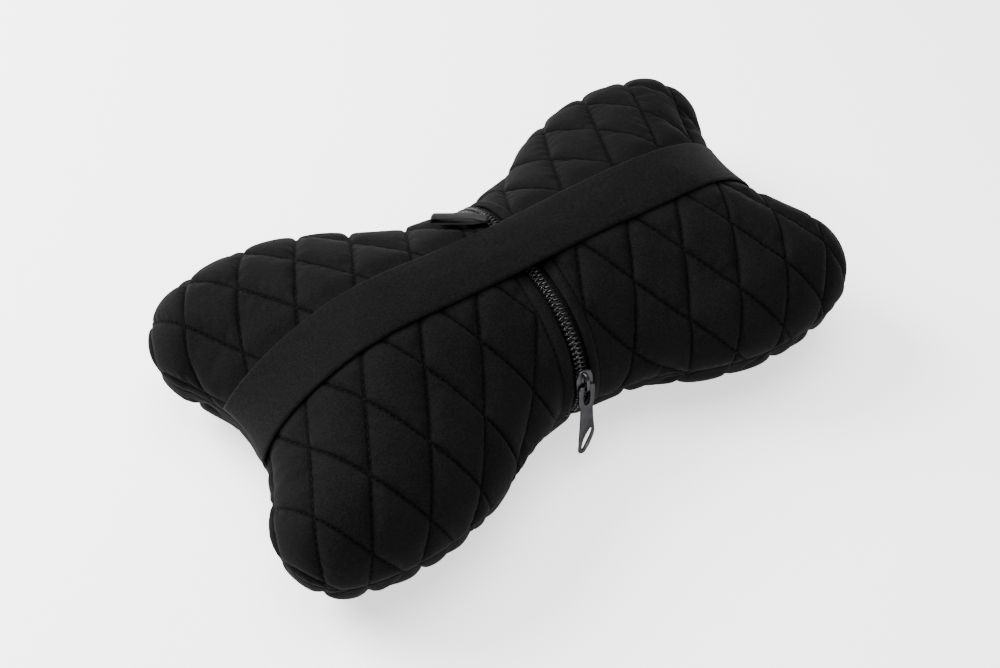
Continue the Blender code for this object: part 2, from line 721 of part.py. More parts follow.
def label():
    """A bare folded ribbon, sewn on beside the zip, that sticks out over the back waist."""
    root = on_rear(np.array([[LABEL_X, LABEL_Y]]), np.array([LABEL_GAP + LABEL_RIBBON]))[0]
    outer = LABEL_LOOP / 2 + LABEL_RIBBON
    turn = LABEL_REACH - outer
    shape = [(0, -LABEL_RIBBON), (LABEL_NECK, -LABEL_RIBBON), (2 * LABEL_NECK, -outer)]
    shape += arc((turn, 0), outer, -math.pi / 2, math.pi / 2, 7)
    shape += [(2 * LABEL_NECK, outer), (LABEL_NECK, LABEL_RIBBON), (0, LABEL_RIBBON)]
    hollow = [(LABEL_NECK + 2 * LABEL_RIBBON, 0), (2 * LABEL_NECK, -LABEL_LOOP / 2)]
    hollow += arc((turn, 0), LABEL_LOOP / 2, -math.pi / 2, math.pi / 2, 7)
    hollow += [(2 * LABEL_NECK, LABEL_LOOP / 2)]
    ribbon = add_object("label", solid_outline("label", [shape, hollow], LABEL_WIDTH),
                        (0.03, 0.03, 0.03), 0.7)
    stand_up = Matrix(((0, 0, 1, 0), (1, 0, 0, 0), (0, 1, 0, 0), (0, 0, 0, 1)))
    heading = Matrix.Rotation(LABEL_HEADING, 4, "Z") @ Matrix.Rotation(-LABEL_DROOP, 4, "X")
    roll = Matrix.Rotation(LABEL_ROLL, 4, "Y")
    ribbon.matrix_world = Matrix.Translation(root) @ heading @ roll @ stand_up
    return ribbon


def main():
    """Build the pillow in an empty scene."""
    for old in list(bpy.data.objects):
        bpy.data.objects.remove(old)
    for name in (COLLECTION, CUTTERS):
        bpy.context.scene.collection.children.link(bpy.data.collections.new(name))
    cover_rear("cover_rear_left", -1, LEFT_QUILT_START)
    cover_rear("cover_rear_right", 1, RIGHT_QUILT_START)
    cover_front()
    inner_cushion()
    for side, name in ((-1, "left"), (1, "right")):
        zip_tape("zip_tape_" + name, side)
        zip_coil("zip_coil_" + name, side)
    zip_pull(zip_slider())
    elastic_strap()
    label()


main()
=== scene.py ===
"""Looks of the quilted neck pillow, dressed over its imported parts.

The flat cloth of the cover, zip and strap is wrapped over the stuffed form that
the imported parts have, and the quilted cloth is then puffed up by simulation.
All sizes are in metres and all angles in radians.
"""
import math

import bmesh
import bpy
import numpy as np
from mathutils import Matrix, Vector


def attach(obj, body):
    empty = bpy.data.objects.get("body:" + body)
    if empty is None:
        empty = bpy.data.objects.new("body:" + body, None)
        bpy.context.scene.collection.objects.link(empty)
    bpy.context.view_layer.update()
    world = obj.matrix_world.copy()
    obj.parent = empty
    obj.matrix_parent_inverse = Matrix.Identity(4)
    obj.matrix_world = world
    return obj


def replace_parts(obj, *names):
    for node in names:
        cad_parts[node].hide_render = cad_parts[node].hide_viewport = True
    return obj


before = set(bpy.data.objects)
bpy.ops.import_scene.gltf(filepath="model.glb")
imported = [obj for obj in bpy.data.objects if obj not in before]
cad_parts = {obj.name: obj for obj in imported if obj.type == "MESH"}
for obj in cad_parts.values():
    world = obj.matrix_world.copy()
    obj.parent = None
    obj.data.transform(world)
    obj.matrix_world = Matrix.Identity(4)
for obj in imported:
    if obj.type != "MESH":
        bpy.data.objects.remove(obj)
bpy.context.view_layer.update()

# Outline of the seam and stuffed form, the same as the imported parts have.
LOBE_X = 0.121
LOBE_Y = 0.053
CORNER_RADIUS = 0.028
FLANK_RADIUS = 0.096
FLANK_START = math.radians(73)
NOTCH_X = 0.1327
WAIST_Y = 0.0530
WAIST_SHIFT = 0.0025
EQUATOR_HEIGHT = 0.0383
REAR_RISE = 0.0387
REAR_ROUNDING = 0.057
CROWN = 0.009
FRONT_ROUNDING = 0.038
FRONT_TUCK = math.radians(17)
FRONT_BED = 0.00135
WAIST_TUCK = math.radians(17)
WAIST_SPREAD = 0.0555
RIDGE_SOFTENING = 0.014
SEAM_GAP = 0.0004
PROFILE_STEPS = 48
CURVE_MERGE = 0.000005
CUSHION_MERGE = 0.00001

# Quilting.
DIAMOND_X = 0.0274
DIAMOND_Y = 0.0528
LEFT_QUILT_START = (-0.0964, -0.0304)
RIGHT_QUILT_START = (0.0070, -0.0374)
FRONT_QUILT_START = (0.0, 0.0)
PUFF_LIMIT = 0.0039
PUFF_ROUNDNESS = 0.65
REAR_STEPS = 16
FRONT_STEPS = 12
SEAM_FADE = 0.008
SEAM_PRESS = 0.0045
FRONT_FADE = 0.009
# Widths of the painted shade beside the quilting lines, as a share of their spacing, and beside the hem
# stitching.
GROOVE_SHADE_SHARE = 0.045
HEM_SHADE_WIDTH = 0.0007
FAR_FROM_HEM = 1.0
STITCH_LENGTH = 0.0021
STITCH_PITCH = 0.0029
STITCH_WANDER = 0.00009
STITCH_TURN = 0.05
STITCH_ARCH = 0.00025
THREAD_RADIUS = 0.00021
STITCH_LIFT = 0.00020
QUILT_REACH = math.ceil(2 * (LOBE_X + CORNER_RADIUS + REAR_ROUNDING) / DIAMOND_X)
ON_LINE = 0.02
RIM_WIDTH = 0.00005
LEAST_PUFF = 0.00002
LINE_CREASE = 0.8
SEAM_TURNS = (0.0006, 0.0035)
SEAM_DROP = 0.00012

# Simulation of the puffed cloth, at a larger scale.
SIM_SCALE = 10
SIM_FRAMES = 20
SIM_PRESSURE = 60
SIM_CLOTH = {
    "quality": 6, "mass": 0.15, "tension_stiffness": 25, "compression_stiffness": 12,
    "shear_stiffness": 8, "bending_stiffness": 0.02, "tension_damping": 15,
    "compression_damping": 15, "shear_damping": 15, "air_damping": 3, "shrink_min": -0.055,
    "use_pressure": True, "vertex_group_mass": "pins"}

# Zip, with its line's slant across the pillow.
ZIP_X = -0.0017
ZIP_SLANT = 0.065
ZIP_TOP = 0.0795
ZIP_BEND = 0.038
ZIP_BACK_BEND = 0.0425
OPENING_HALF = 0.0050
VALLEY_HALF = 0.018
HEM_STITCH = 0.0098
HEM_PUFF = 0.0009
HEM_FADE = 0.002
HEM_RISE = 0.006
HEM_TURN = 0.004
ZIP_THREAD_END = 0.003
LEFT_FOLD = 0.0012
RIGHT_FOLD = 0.0005
TAPE_LEVEL = -0.0020
TAPE_THICKNESS = 0.0006
TAPE_NEAR = 0.0004
TAPE_FAR = 0.0066
TAPE_GRID = (121, 9)
COIL_HALF = 0.0026
COIL_LOW = -0.0014
COIL_HIGH = -0.0001
COIL_PITCH = 0.0021
COIL_WIRE = 0.00036
COIL_END = 0.002
# Across, height and share of the pitch of one turn of the wire.
COIL_TURN = np.array([
    (1.00, 0.15, 0.00), (0.86, 0.80, 0.06), (0.60, 1.00, 0.14), (0.20, 1.00, 0.22),
    (-0.08, 0.85, 0.30), (-0.14, 0.45, 0.42), (-0.02, 0.12, 0.56), (0.30, 0.02, 0.68),
    (0.75, 0.00, 0.84)])
SLIDER_REST = math.radians(72)
PLATE_LEVEL = 0.0007
SLIDER_LENGTH = 0.0120
SLIDER_WIDTH = 0.0084
PLATE_THICKNESS = 0.0012
PLATE_ROUNDING = 0.00030
CHEEK_LOW = -0.0015
CHEEK_TOP = PLATE_LEVEL + 0.0006
CHEEK_THICKNESS = 0.0007
CHEEK_ROUNDING = 0.00015
CHEEK_X = 0.00335
DOME_SIZE = (0.0017, 0.0026, 0.0006)
BRIDGE_HALF = 0.0050
BRIDGE_RISE = 0.0031
BRIDGE_BAR = 0.0011
BRIDGE_WIDTH = 0.0018
BRIDGE_FOOT = -0.0006
PULL_PIVOT = 0.0020
PIVOT_RISE = 0.0010
PULL_DROP = math.radians(5)
PULL_LENGTH = 0.0405
PULL_HALF = 0.0041
PULL_THICKNESS = 0.0010
PULL_ROUNDING = 0.00022
PULL_BAR = 0.0011
PULL_EYE = 0.0110
PULL_PLAY = 0.0009
PULL_NECK = 0.0025
PULL_WAIST = 0.006
PULL_TIP = 0.0021
PULL_TIP_INSET = 0.0017
# Outlines as shares of half the width, and of half the slider's or the whole pull's length.
PLATE_SHAPE = [(-0.42, 1), (0.42, 1), (0.98, 0.50), (1, -0.20),
               (0.80, -1), (-0.80, -1), (-1, -0.20), (-0.98, 0.50)]
PULL_SHAPE = [(0.95, -0.66), (0.98, -0.71), (0.85, -0.78), (0.25, -0.92), (-0.20, -0.98)]
PULL_HOLE = [(0.66, -0.66), (0.66, -0.715), (0.28, -0.80), (-0.25, -0.90), (-0.60, -0.955),
             (-0.72, -0.93), (-0.66, -0.86), (-0.35, -0.76), (0.10, -0.69), (0.45, -0.645)]

# Strap.
STRAP_WIDTH = 0.0276
STRAP_Y = 0.0006
STRAP_DRIFT = 0.0040
STRAP_DRIFT_X = 0.076
STRAP_DRIFT_SPREAD = 0.034
STRAP_LEVEL = 0.0012
STRAP_THICKNESS = 0.0012
STRAP_END = 0.0045
STRAP_END_THINNING = 0.5
STRAP_END_LEVEL = 0.0001
STRAP_PRESS = 0.0007
STRAP_GRID = (401, 25)
SELVEDGE_ROUNDING = 0.0006
SELVEDGE_GROOVE = 0.00028
SELVEDGE_PLACE = 0.0019
SELVEDGE_WIDTH = 0.0004

# Label.
LABEL_X = -0.0030
LABEL_Y = 0.0192
LABEL_HEADING = math.radians(51)
LABEL_DROOP = math.radians(5)
LABEL_ROLL = math.radians(32)
LABEL_WIDTH = 0.0090
LABEL_REACH = 0.0250
LABEL_RIBBON = 0.00045
LABEL_LOOP = 0.0024
LABEL_NECK = 0.0030
LABEL_GAP = 0.0017
LABEL_CURL = 0.0009
LABEL_COLUMNS = 25
LABEL_STEP = 0.001

# Camera, fitted to the photo's outline, seam and quilting.
CAMERA_AZIMUTH = math.radians(-40.88)
CAMERA_ELEVATION = math.radians(53.46)
CAMERA_ROLL = math.radians(6.85)
CAMERA_DISTANCE = 0.53388
CAMERA_TARGET = (-0.01385, -0.00967, 0.0380)
CAMERA_LENS = 42.757


def unit(angle):
    return np.array([math.cos(angle), math.sin(angle)])


def cross(a, b):
    return a[..., 0] * b[..., 1] - a[..., 1] * b[..., 0]


def smooth_step(value):
    value = np.clip(value, 0, 1)
    return value * value * (3 - 2 * value)


def bump(value, centre, width):
    return np.exp(-((value - centre) / width) ** 2)


def link_object(name, data):
    piece = bpy.data.objects.new(name, data)
    bpy.context.scene.collection.objects.link(piece)
    return piece


def as_data(name, mesh):
    """Mesh data from a bmesh, which is freed."""
    data = bpy.data.meshes.new(name)
    mesh.to_mesh(data)
    mesh.free()
    return data


def mend(data, merge=0.0, outward=True):
    """The mesh data with doubled points merged and its faces turned outward."""
    mesh = bmesh.new()
    mesh.from_mesh(data)
    if merge:
        bmesh.ops.remove_doubles(mesh, verts=mesh.verts, dist=merge)
    if outward:
        bmesh.ops.recalc_face_normals(mesh, faces=mesh.faces[:])
    mesh.to_mesh(data)
    mesh.free()
    return data


# The stuffed form

CORNER = np.array([LOBE_X, LOBE_Y])
FLANK = CORNER - (FLANK_RADIUS - CORNER_RADIUS) * unit(FLANK_START)


def joining_radius(along, across, radius, reach):
    """Radius of the hollow arc that meets a lobe arc and stands at reach on the axis."""
    step = reach - along
    return (step * step + across * across - radius * radius) / (2 * (radius - step))


NOTCH_RADIUS = joining_radius(LOBE_X, LOBE_Y, CORNER_RADIUS, NOTCH_X)
WAIST_RADIUS = joining_radius(FLANK[1], FLANK[0], FLANK_RADIUS, WAIST_Y)
NOTCH = np.array([NOTCH_X + NOTCH_RADIUS, 0.0])
WAIST = np.array([0.0, WAIST_Y + WAIST_RADIUS])


def waist_shift(points):
    """How far the outline lies towards the front at each point, which fades to the ends."""
    return WAIST_SHIFT * np.exp(-(points[:, 0] / WAIST_SPREAD) ** 2)


def outline_depth(points):
    """Depth inside the seam outline and the direction that leads inward."""
    points = np.column_stack([points[:, 0], points[:, 1] + waist_shift(points)])
    side = np.where(points < 0, -1.0, 1.0)
    quarter = np.abs(points)
    far = 10.0
    arcs = (
        (NOTCH, NOTCH_RADIUS, 1, cross(CORNER - NOTCH, quarter - NOTCH) >= 0),
        (WAIST, WAIST_RADIUS, 1, cross(quarter - WAIST, FLANK - WAIST) >= 0),
        (CORNER, CORNER_RADIUS, -1, (cross(NOTCH - CORNER, quarter - CORNER) >= 0)
         & (cross(quarter - CORNER, unit(FLANK_START)) >= 0)),
        (FLANK, FLANK_RADIUS, -1, (cross(unit(FLANK_START), quarter - FLANK) >= 0)
         & (cross(quarter - FLANK, WAIST - FLANK) >= 0)),
    )
    depths = []
    directions = []
    for centre, radius, sense, reached in arcs:
        spoke = quarter - centre
        length = np.maximum(np.linalg.norm(spoke, axis=1), 1e-9)
        depths.append(np.where(reached, sense * (length - radius), far))
        directions.append(sense * spoke / length[:, None])
    depths = np.stack(depths, 1)
    nearest = depths.argmin(1)
    row = np.arange(len(points))
    return depths[row, nearest], np.stack(directions, 1)[row, nearest] * side


def soft_depth(points):
    """Outline depth averaged over a small ring, so that no ridge is left inside."""
    depth, inward = outline_depth(points)
    reach = np.clip(depth * 0.5, 0, RIDGE_SOFTENING)[:, None]
    ring = [outline_depth(points + reach * unit(k * math.pi / 4)) for k in range(8)]
    mean_depth = sum(item[0] for item in ring) / 8
    mean_inward = sum(item[1] for item in ring) / 8
    return 0.25 * depth + 0.75 * mean_depth, 0.25 * inward + 0.75 * mean_inward


def tuck_angle(points):
    """How far the seam is tucked under, which is only at the waist."""
    depth, inward = outline_depth(points)
    foot_x = (points - inward * depth[:, None])[:, 0]
    return WAIST_TUCK * np.exp(-(foot_x / WAIST_SPREAD) ** 2)


def cloth_length(width, height):
    steps = np.hypot(np.diff(width, axis=1), np.diff(height, axis=1))
    return np.concatenate([np.zeros((len(width), 1)), np.cumsum(steps, 1)], 1)


def rear_profile(tuck):
    """Width in, height and cloth length from the seam up to the flat of the top."""
    share = np.linspace(0, 1, PROFILE_STEPS)[None]
    angle = -tuck[:, None] + (math.pi / 2 + tuck[:, None]) * share
    width = REAR_ROUNDING * (np.cos(tuck)[:, None] - np.cos(angle))
    height = EQUATOR_HEIGHT + REAR_RISE * np.sin(angle)
    return width, height, cloth_length(width, height)


def front_profile(tuck):
    """The same from the seam down to the floor."""
    angle = np.linspace(FRONT_TUCK, math.pi / 2, PROFILE_STEPS)[None] + 0 * tuck[:, None]
    seam = EQUATOR_HEIGHT - REAR_RISE * np.sin(tuck)[:, None] - SEAM_GAP
    width = FRONT_ROUNDING * (math.cos(FRONT_TUCK) - np.cos(angle))
    left = (1 - np.sin(angle)) / (1 - math.sin(FRONT_TUCK))
    height = FRONT_BED + (seam - FRONT_BED) * left
    return width, height, cloth_length(width, height)


def read_profile(table, length, at):
    """Value of each row's table where its cloth length reaches at."""
    row = np.arange(len(at))
    low = np.clip((length < at[:, None]).sum(1) - 1, 0, PROFILE_STEPS - 2)
    span = length[row, low + 1] - length[row, low]
    share = np.clip((at - length[row, low]) / span, 0, 1)
    return table[row, low] + share * (table[row, low + 1] - table[row, low])


def cloth_edge(points, profile):
    """Cloth length from the seam to each point of the flat cloth, negative outside."""
    width, height, length = profile(tuck_angle(points))
    return outline_depth(points)[0] + length[:, -1] - width[:, -1]


def rear_edge(points):
    return cloth_edge(points, rear_profile)


def front_edge(points):
    return cloth_edge(points, front_profile)


def zip_reach(bend):
    """Length of the zip's level part and of its bent part, on one side."""
    drop = ZIP_TOP - EQUATOR_HEIGHT + REAR_RISE * math.sin(WAIST_TUCK)
    angle = math.acos(1 - drop / bend)
    return WAIST_Y - bend * math.sin(angle), bend * angle


ZIP_FLAT, ZIP_BENT = zip_reach(ZIP_BEND)
ZIP_BACK_FLAT, ZIP_BACK_BENT = zip_reach(ZIP_BACK_BEND)
ZIP_FRONT = ZIP_FLAT + WAIST_SHIFT
WAIST_PROFILE = rear_profile(np.array([WAIST_TUCK]))
ZIP_CLOTH = WAIST_Y + WAIST_PROFILE[2][0, -1] - WAIST_PROFILE[0][0, -1]


def zip_path(share):
    """Point of the zip's line, with share -1 at the front seam and 1 at the back one."""
    back = share > 0
    bend = np.where(back, ZIP_BACK_BEND, ZIP_BEND)
    level = np.where(back, ZIP_BACK_FLAT, ZIP_FLAT)
    along = np.abs(share) * np.where(back, ZIP_BACK_FLAT + ZIP_BACK_BENT, ZIP_FLAT + ZIP_BENT)
    angle = np.maximum(along - level, 0) / bend
    across = np.minimum(along, level) + bend * np.sin(angle)
    return np.sign(share) * across - WAIST_SHIFT, ZIP_TOP - bend * (1 - np.cos(angle))


def beside_zip(points):
    """Distance of flat cloth points to the right of the zip's slanted line."""
    across = zip_path(np.clip((points[:, 1] + WAIST_SHIFT) / ZIP_CLOTH, -1, 1))[0]
    return points[:, 0] - ZIP_X - ZIP_SLANT * across


def rear_form(points, valley=True):
    """Where the quilting lines of the rear side lie for points of the flat cloth."""
    depth, inward = soft_depth(points)
    width, height, length = rear_profile(tuck_angle(points))
    spare = length[:, -1] - width[:, -1]
    edge = depth + spare
    share = np.clip(edge / length[:, -1], 0, 1)
    moved = np.where(share < 1, spare - edge + read_profile(width, length, edge), 0)
    plan = points + inward * moved[:, None]
    middle = plan[:, 1] + waist_shift(plan)
    swell = np.clip(1 - (middle / WAIST_Y) ** 2, 0, 1) * share ** 2
    z = read_profile(height, length, edge) + CROWN * swell
    form = np.column_stack([plan, z])
    if valley:
        off = (np.abs(beside_zip(points)) - OPENING_HALF) / (VALLEY_HALF - OPENING_HALF)
        blend = (1 - smooth_step(off)) * np.clip(edge / SEAM_FADE, 0, 1)
        half = WAIST_Y + spare
        y, z = zip_path(np.clip((points[:, 1] + WAIST_SHIFT) / half, -1, 1))
        bottom = np.column_stack([points[:, 0], y, z])
        form += blend[:, None] * (bottom - form)
    return form


def front_form(points):
    """The same for the front side, which lies on the floor."""
    depth, inward = soft_depth(points)
    width, height, length = front_profile(tuck_angle(points))
    spare = length[:, -1] - width[:, -1]
    edge = depth + spare
    moved = np.where(edge < length[:, -1], spare - edge + read_profile(width, length, edge), 0)
    return np.column_stack([points + inward * moved[:, None], read_profile(height, length, edge)])


def form_normals(form, profile, points, facing):
    """Outward directions of a form at points of its flat cloth."""
    near = np.maximum(0.001 - cloth_edge(points, profile), 0)[:, None]
    inner = points + outline_depth(points)[1] * near
    step = 0.0005
    along = form(inner + [step, 0]) - form(inner - [step, 0])
    across = form(inner + [0, step]) - form(inner - [0, step])
    normal = np.cross(along, across) * facing
    normal[:, 2] = facing * np.maximum(normal[:, 2] * facing, 0)
    return normal / np.linalg.norm(normal, axis=1)[:, None]


class Side:
    """One side of the cover: how its flat cloth lies in space."""

    def __init__(self, form, profile, facing):
        self.form = form
        self.profile = profile
        self.facing = facing

    def place(self, points, lift=0.0):
        """Points in space and outward directions, raised by lift."""
        normal = form_normals(self.form, self.profile, points, self.facing)
        lift = np.broadcast_to(lift, len(points))
        return self.form(points) + normal * lift[:, None], normal


REAR = Side(rear_form, rear_profile, 1)
REAR_BRIDGED = Side(lambda points: rear_form(points, False), rear_profile, 1)
FRONT = Side(front_form, front_profile, -1)


# Quilted cloth

def lattice(points, start):
    """Quilting line numbers of flat points, one for each family of lines."""
    right = (points[:, 0] - start[0]) / (DIAMOND_X / 2)
    down = -(points[:, 1] - start[1]) / (DIAMOND_Y / 2)
    return (down - right) / 2, (down + right) / 2


def from_lattice(i, j, start):
    return np.column_stack([start[0] + (j - i) * DIAMOND_X / 2, start[1] - (i + j) * DIAMOND_Y / 2])


def quilt_mesh(start, steps, levels):
    """A flat sheet whose grid follows the quilting, trimmed where a level falls below 0."""
    reach = QUILT_REACH
    count = 2 * reach * steps + 1
    rows, columns = np.meshgrid(np.arange(count), np.arange(count), indexing="ij")
    number = (rows * count + columns).ravel()
    points = from_lattice(rows.ravel() / steps - reach, columns.ravel() / steps - reach, start)
    spacing = DIAMOND_X / steps
    inside = np.all([level(points) > -2 * spacing for level in levels], axis=0)
    kept = np.full(len(points), -1)
    kept[inside] = np.arange(inside.sum())
    corner = number.reshape(count, count)
    faces = np.stack([corner[:-1, :-1], corner[1:, :-1], corner[1:, 1:], corner[:-1, 1:]], -1)
    faces = kept[faces.reshape(-1, 4)]
    faces = faces[(faces >= 0).all(1)]
    flat = bpy.data.meshes.new("flat")
    flat.from_pydata([(x, y, 0.0) for x, y in points[inside]], [], faces.tolist())
    mesh = bmesh.new()
    mesh.from_mesh(flat)
    bpy.data.meshes.remove(flat)
    for level in levels:
        trim(mesh, level, spacing * 0.35)
    bmesh.ops.recalc_face_normals(mesh, faces=mesh.faces[:])
    mesh.faces.ensure_lookup_table()
    if mesh.faces[0].normal.z < 0:
        bmesh.ops.reverse_faces(mesh, faces=mesh.faces[:])
    return mesh


def flat_points(mesh):
    return np.array([vert.co[:2] for vert in mesh.verts])


def trim(mesh, inside, spacing):
    """Cut a flat sheet where inside() crosses zero, and drop the outer side."""
    flat = flat_points(mesh)
    level = inside(flat)
    near = np.abs(level) < spacing
    probe = 0.0002
    slope = np.column_stack([
        (inside(flat[near] + step) - inside(flat[near] - step)) / (2 * probe)
        for step in ([probe, 0], [0, probe])])
    flat[near] -= (level[near] / (slope ** 2).sum(1))[:, None] * slope
    level[near] = 0.0
    value = {}
    for vert, (x, y), here in zip(mesh.verts, flat, level):
        vert.co.x = x
        vert.co.y = y
        value[vert] = here
    for edge in list(mesh.edges):
        first, second = edge.verts
        if value[first] * value[second] < 0:
            share = value[first] / (value[first] - value[second])
            value[bmesh.utils.edge_split(edge, first, share)[1]] = 0.0
    rim = [vert for vert, here in value.items() if here == 0.0]
    bmesh.ops.connect_verts(mesh, verts=rim)
    outer = [vert for vert, here in value.items() if here < 0]
    bmesh.ops.delete(mesh, geom=outer, context="VERTS")
    doubtful = [face for face in mesh.faces if all(value[vert] == 0.0 for vert in face.verts)]
    if doubtful:
        middle = inside(np.array([face.calc_center_median()[:2] for face in doubtful]))
        strays = [face for face, here in zip(doubtful, middle) if here <= spacing * 0.1]
        bmesh.ops.delete(mesh, geom=strays, context="FACES")
    loose = [vert for vert in mesh.verts if not vert.link_faces]
    bmesh.ops.delete(mesh, geom=loose, context="VERTS")


def inflate(mesh, rest, pinned, facing):
    """Positions of the sheet's vertices after its diamonds are blown up between pins."""
    data = bpy.data.meshes.new("inflating")
    mesh.to_mesh(data)
    data.vertices.foreach_set("co", (rest * SIM_SCALE).ravel())
    piece = link_object("inflating", data)
    group = piece.vertex_groups.new(name="pins")
    group.add(np.flatnonzero(pinned).tolist(), 1.0, "REPLACE")
    cloth = piece.modifiers.new("Cloth", "CLOTH")
    settings = cloth.settings
    for key, value in SIM_CLOTH.items():
        setattr(settings, key, value)
    settings.uniform_pressure_force = SIM_PRESSURE * facing
    settings.effector_weights.gravity = 0
    cloth.point_cache.frame_start = 1
    cloth.point_cache.frame_end = SIM_FRAMES
    scene = bpy.context.scene
    for number in range(1, SIM_FRAMES + 1):
        scene.frame_set(number)
    evaluated = piece.evaluated_get(bpy.context.evaluated_depsgraph_get())
    result = np.empty(len(data.vertices) * 3)
    evaluated.data.vertices.foreach_get("co", result)
    scene.frame_set(1)
    bpy.data.objects.remove(piece)
    bpy.data.meshes.remove(data)
    return result.reshape(-1, 3) / SIM_SCALE


def quilted_panel(side, start, steps, levels, press, beside_hem):
    """A quilted sheet in space: its mesh, flat points and outward directions."""
    mesh = quilt_mesh(start, steps, levels)
    mesh.verts.index_update()
    flat = flat_points(mesh)
    rest, normal = side.place(flat)
    i, j = lattice(flat, start)
    off = beside_hem(flat)
    on_line = (np.abs(i - np.round(i)) < ON_LINE) | (np.abs(j - np.round(j)) < ON_LINE)
    on_line &= off > HEM_STITCH
    rim = np.array([vert.is_boundary for vert in mesh.verts])
    moved = inflate(mesh, rest, on_line | rim, side.facing) - rest
    height = (moved * normal).sum(1)
    limit = press(flat)
    capped = limit * np.tanh(np.maximum(height, 0) / limit) ** PUFF_ROUNDNESS
    moved += normal * (capped - height)[:, None]
    # Lattice numbers and distance beside the zip, which the cover material reads to paint shade along the
    # quilting and hem lines.
    quilting = mesh.verts.layers.float_vector.new("quilting")
    for vert, point, numbers in zip(mesh.verts, rest + moved, np.column_stack([i, j, off])):
        vert.co = point
        vert[quilting] = numbers
    crease = mesh.edges.layers.float.new("crease_edge")
    for edge in mesh.edges:
        edge[crease] = LINE_CREASE * follows_line(edge, on_line, i, j)
    return mesh, flat, normal


def follows_line(edge, on_line, i, j):
    """Whether an edge of the mesh runs along a quilting line."""
    a, b = (vert.index for vert in edge.verts)
    if not (on_line[a] and on_line[b]):
        return False
    return any(abs(number[a] - number[b]) < ON_LINE
               and abs(number[a] - round(number[a])) < ON_LINE for number in (i, j))


def roll_under(mesh, chain, steps):
    """Adds rows of faces below a rim; steps gives each row's points from the rim's."""
    quilting = mesh.verts.layers.float_vector["quilting"]
    previous = chain
    for place in steps:
        row = [mesh.verts.new(point) for point in place]
        for vert, source in zip(row, chain):
            vert[quilting] = source[quilting]
        for k in range(len(chain) - 1):
            mesh.faces.new((previous[k + 1], previous[k], row[k], row[k + 1]))
        previous = row


def rim_chains(mesh, verts, marked):
    """Runs of the rim through the marked vertices, and their places in verts."""
    where = {vert: number for number, vert in enumerate(verts)}
    wanted = {vert for vert, here in zip(verts, marked) if here}
    after = {}
    for edge in mesh.edges:
        if edge.is_boundary and all(vert in wanted for vert in edge.verts):
            loop = edge.link_loops[0]
            after[loop.vert] = loop.link_loop_next.vert
    reached = set(after.values())
    starts = [vert for vert in after if vert not in reached]
    chains = []
    for start in starts or list(after)[:1]:
        chain = [start]
        while chain[-1] in after and after[chain[-1]] is not start:
            chain.append(after[chain[-1]])
        if not starts:
            chain.append(start)
        chains.append((chain, [where[vert] for vert in chain]))
    return chains


def finish_panel(name, mesh, material):
    """The sheet as a piece, smoothed once."""
    piece = add_piece(name, as_data(name, mesh), material)
    smooth(piece)
    return piece


def smooth(piece):
    """One applied subdivision, so that the mesh itself is round."""
    piece.modifiers.new("Subdivision", "SUBSURF").levels = 1
    evaluated = piece.evaluated_get(bpy.context.evaluated_depsgraph_get())
    data = bpy.data.meshes.new_from_object(evaluated, preserve_all_data_layers=True,
                                           depsgraph=bpy.context.evaluated_depsgraph_get())
    old = piece.data
    piece.modifiers.clear()
    piece.data = data
    bpy.data.meshes.remove(old)
    piece.data.shade_smooth()


def add_piece(name, data, material, body="pillow"):
    piece = link_object(name, data)
    data.materials.clear()
    data.materials.append(material)
    data.shade_smooth()
    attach(piece, body)
    return piece


# Covers

def zip_heading():
    """Unit direction to the right of the zip in plan."""
    return np.array([1.0, -ZIP_SLANT, 0.0]) / math.hypot(1, ZIP_SLANT)


def strap_line(x):
    """Middle line of the strap on the flat cloth, which drifts over the right lobe."""
    return STRAP_Y - STRAP_DRIFT * np.exp(-((x - STRAP_DRIFT_X) / STRAP_DRIFT_SPREAD) ** 2)


def press_rear(points):
    """Greatest puff height, which the seam, the strap and the flat hems at the zip limit."""
    from_seam = smooth_step(rear_edge(points) / SEAM_PRESS)
    from_strap = (np.abs(points[:, 1] - strap_line(points[:, 0])) - STRAP_WIDTH / 2) / SEAM_FADE
    under_strap = STRAP_PRESS + (PUFF_LIMIT - STRAP_PRESS) * smooth_step(from_strap)
    off = np.abs(beside_zip(points))
    hem = HEM_PUFF * smooth_step((HEM_STITCH - off) / HEM_FADE)
    beyond = PUFF_LIMIT * smooth_step((off - HEM_STITCH) / HEM_RISE)
    return from_seam * np.minimum(under_strap, np.maximum(hem, beyond)) + LEAST_PUFF


def press_front(points):
    """The same for the side on the floor, whose puffs grow slowly from the seam."""
    return PUFF_LIMIT * smooth_step(front_edge(points) / FRONT_FADE) + LEAST_PUFF


def beyond(side, off):
    """A level that is 0 at a distance beside the zip's line and grows outward."""
    return lambda points: side * beside_zip(points) - off


def rear_cover(name, side, start, fold, material):
    beyond_hem = beyond(side, OPENING_HALF)
    mesh, flat, normal = quilted_panel(REAR, start, REAR_STEPS, (rear_edge, beyond_hem), press_rear,
                                       beyond(side, 0))
    hem = np.abs(beyond_hem(flat)) < RIM_WIDTH
    seam = np.abs(rear_edge(flat)) < RIM_WIDTH
    verts = list(mesh.verts)
    for chain, index in rim_chains(mesh, verts, hem):
        fold_under(mesh, chain, normal[index], -side * zip_heading(), fold)
    for chain, index in rim_chains(mesh, verts, seam):
        tuck_in(mesh, chain, flat[index], -1)
    return finish_panel(name, mesh, material)


def fold_under(mesh, chain, normal, towards, radius):
    """A rounded folded edge, turned under towards the zip."""
    base = np.array([vert.co[:] for vert in chain])
    towards = towards - normal * (normal @ towards)[:, None]
    towards /= np.linalg.norm(towards, axis=1)[:, None]
    rows = []
    for angle in np.radians([30, 60, 90, 120, 150, 180]):
        rows.append(base + radius * math.sin(angle) * towards
                    - radius * (1 - math.cos(angle)) * normal)
    rows.append(rows[-1] - HEM_TURN * towards)
    roll_under(mesh, chain, rows)


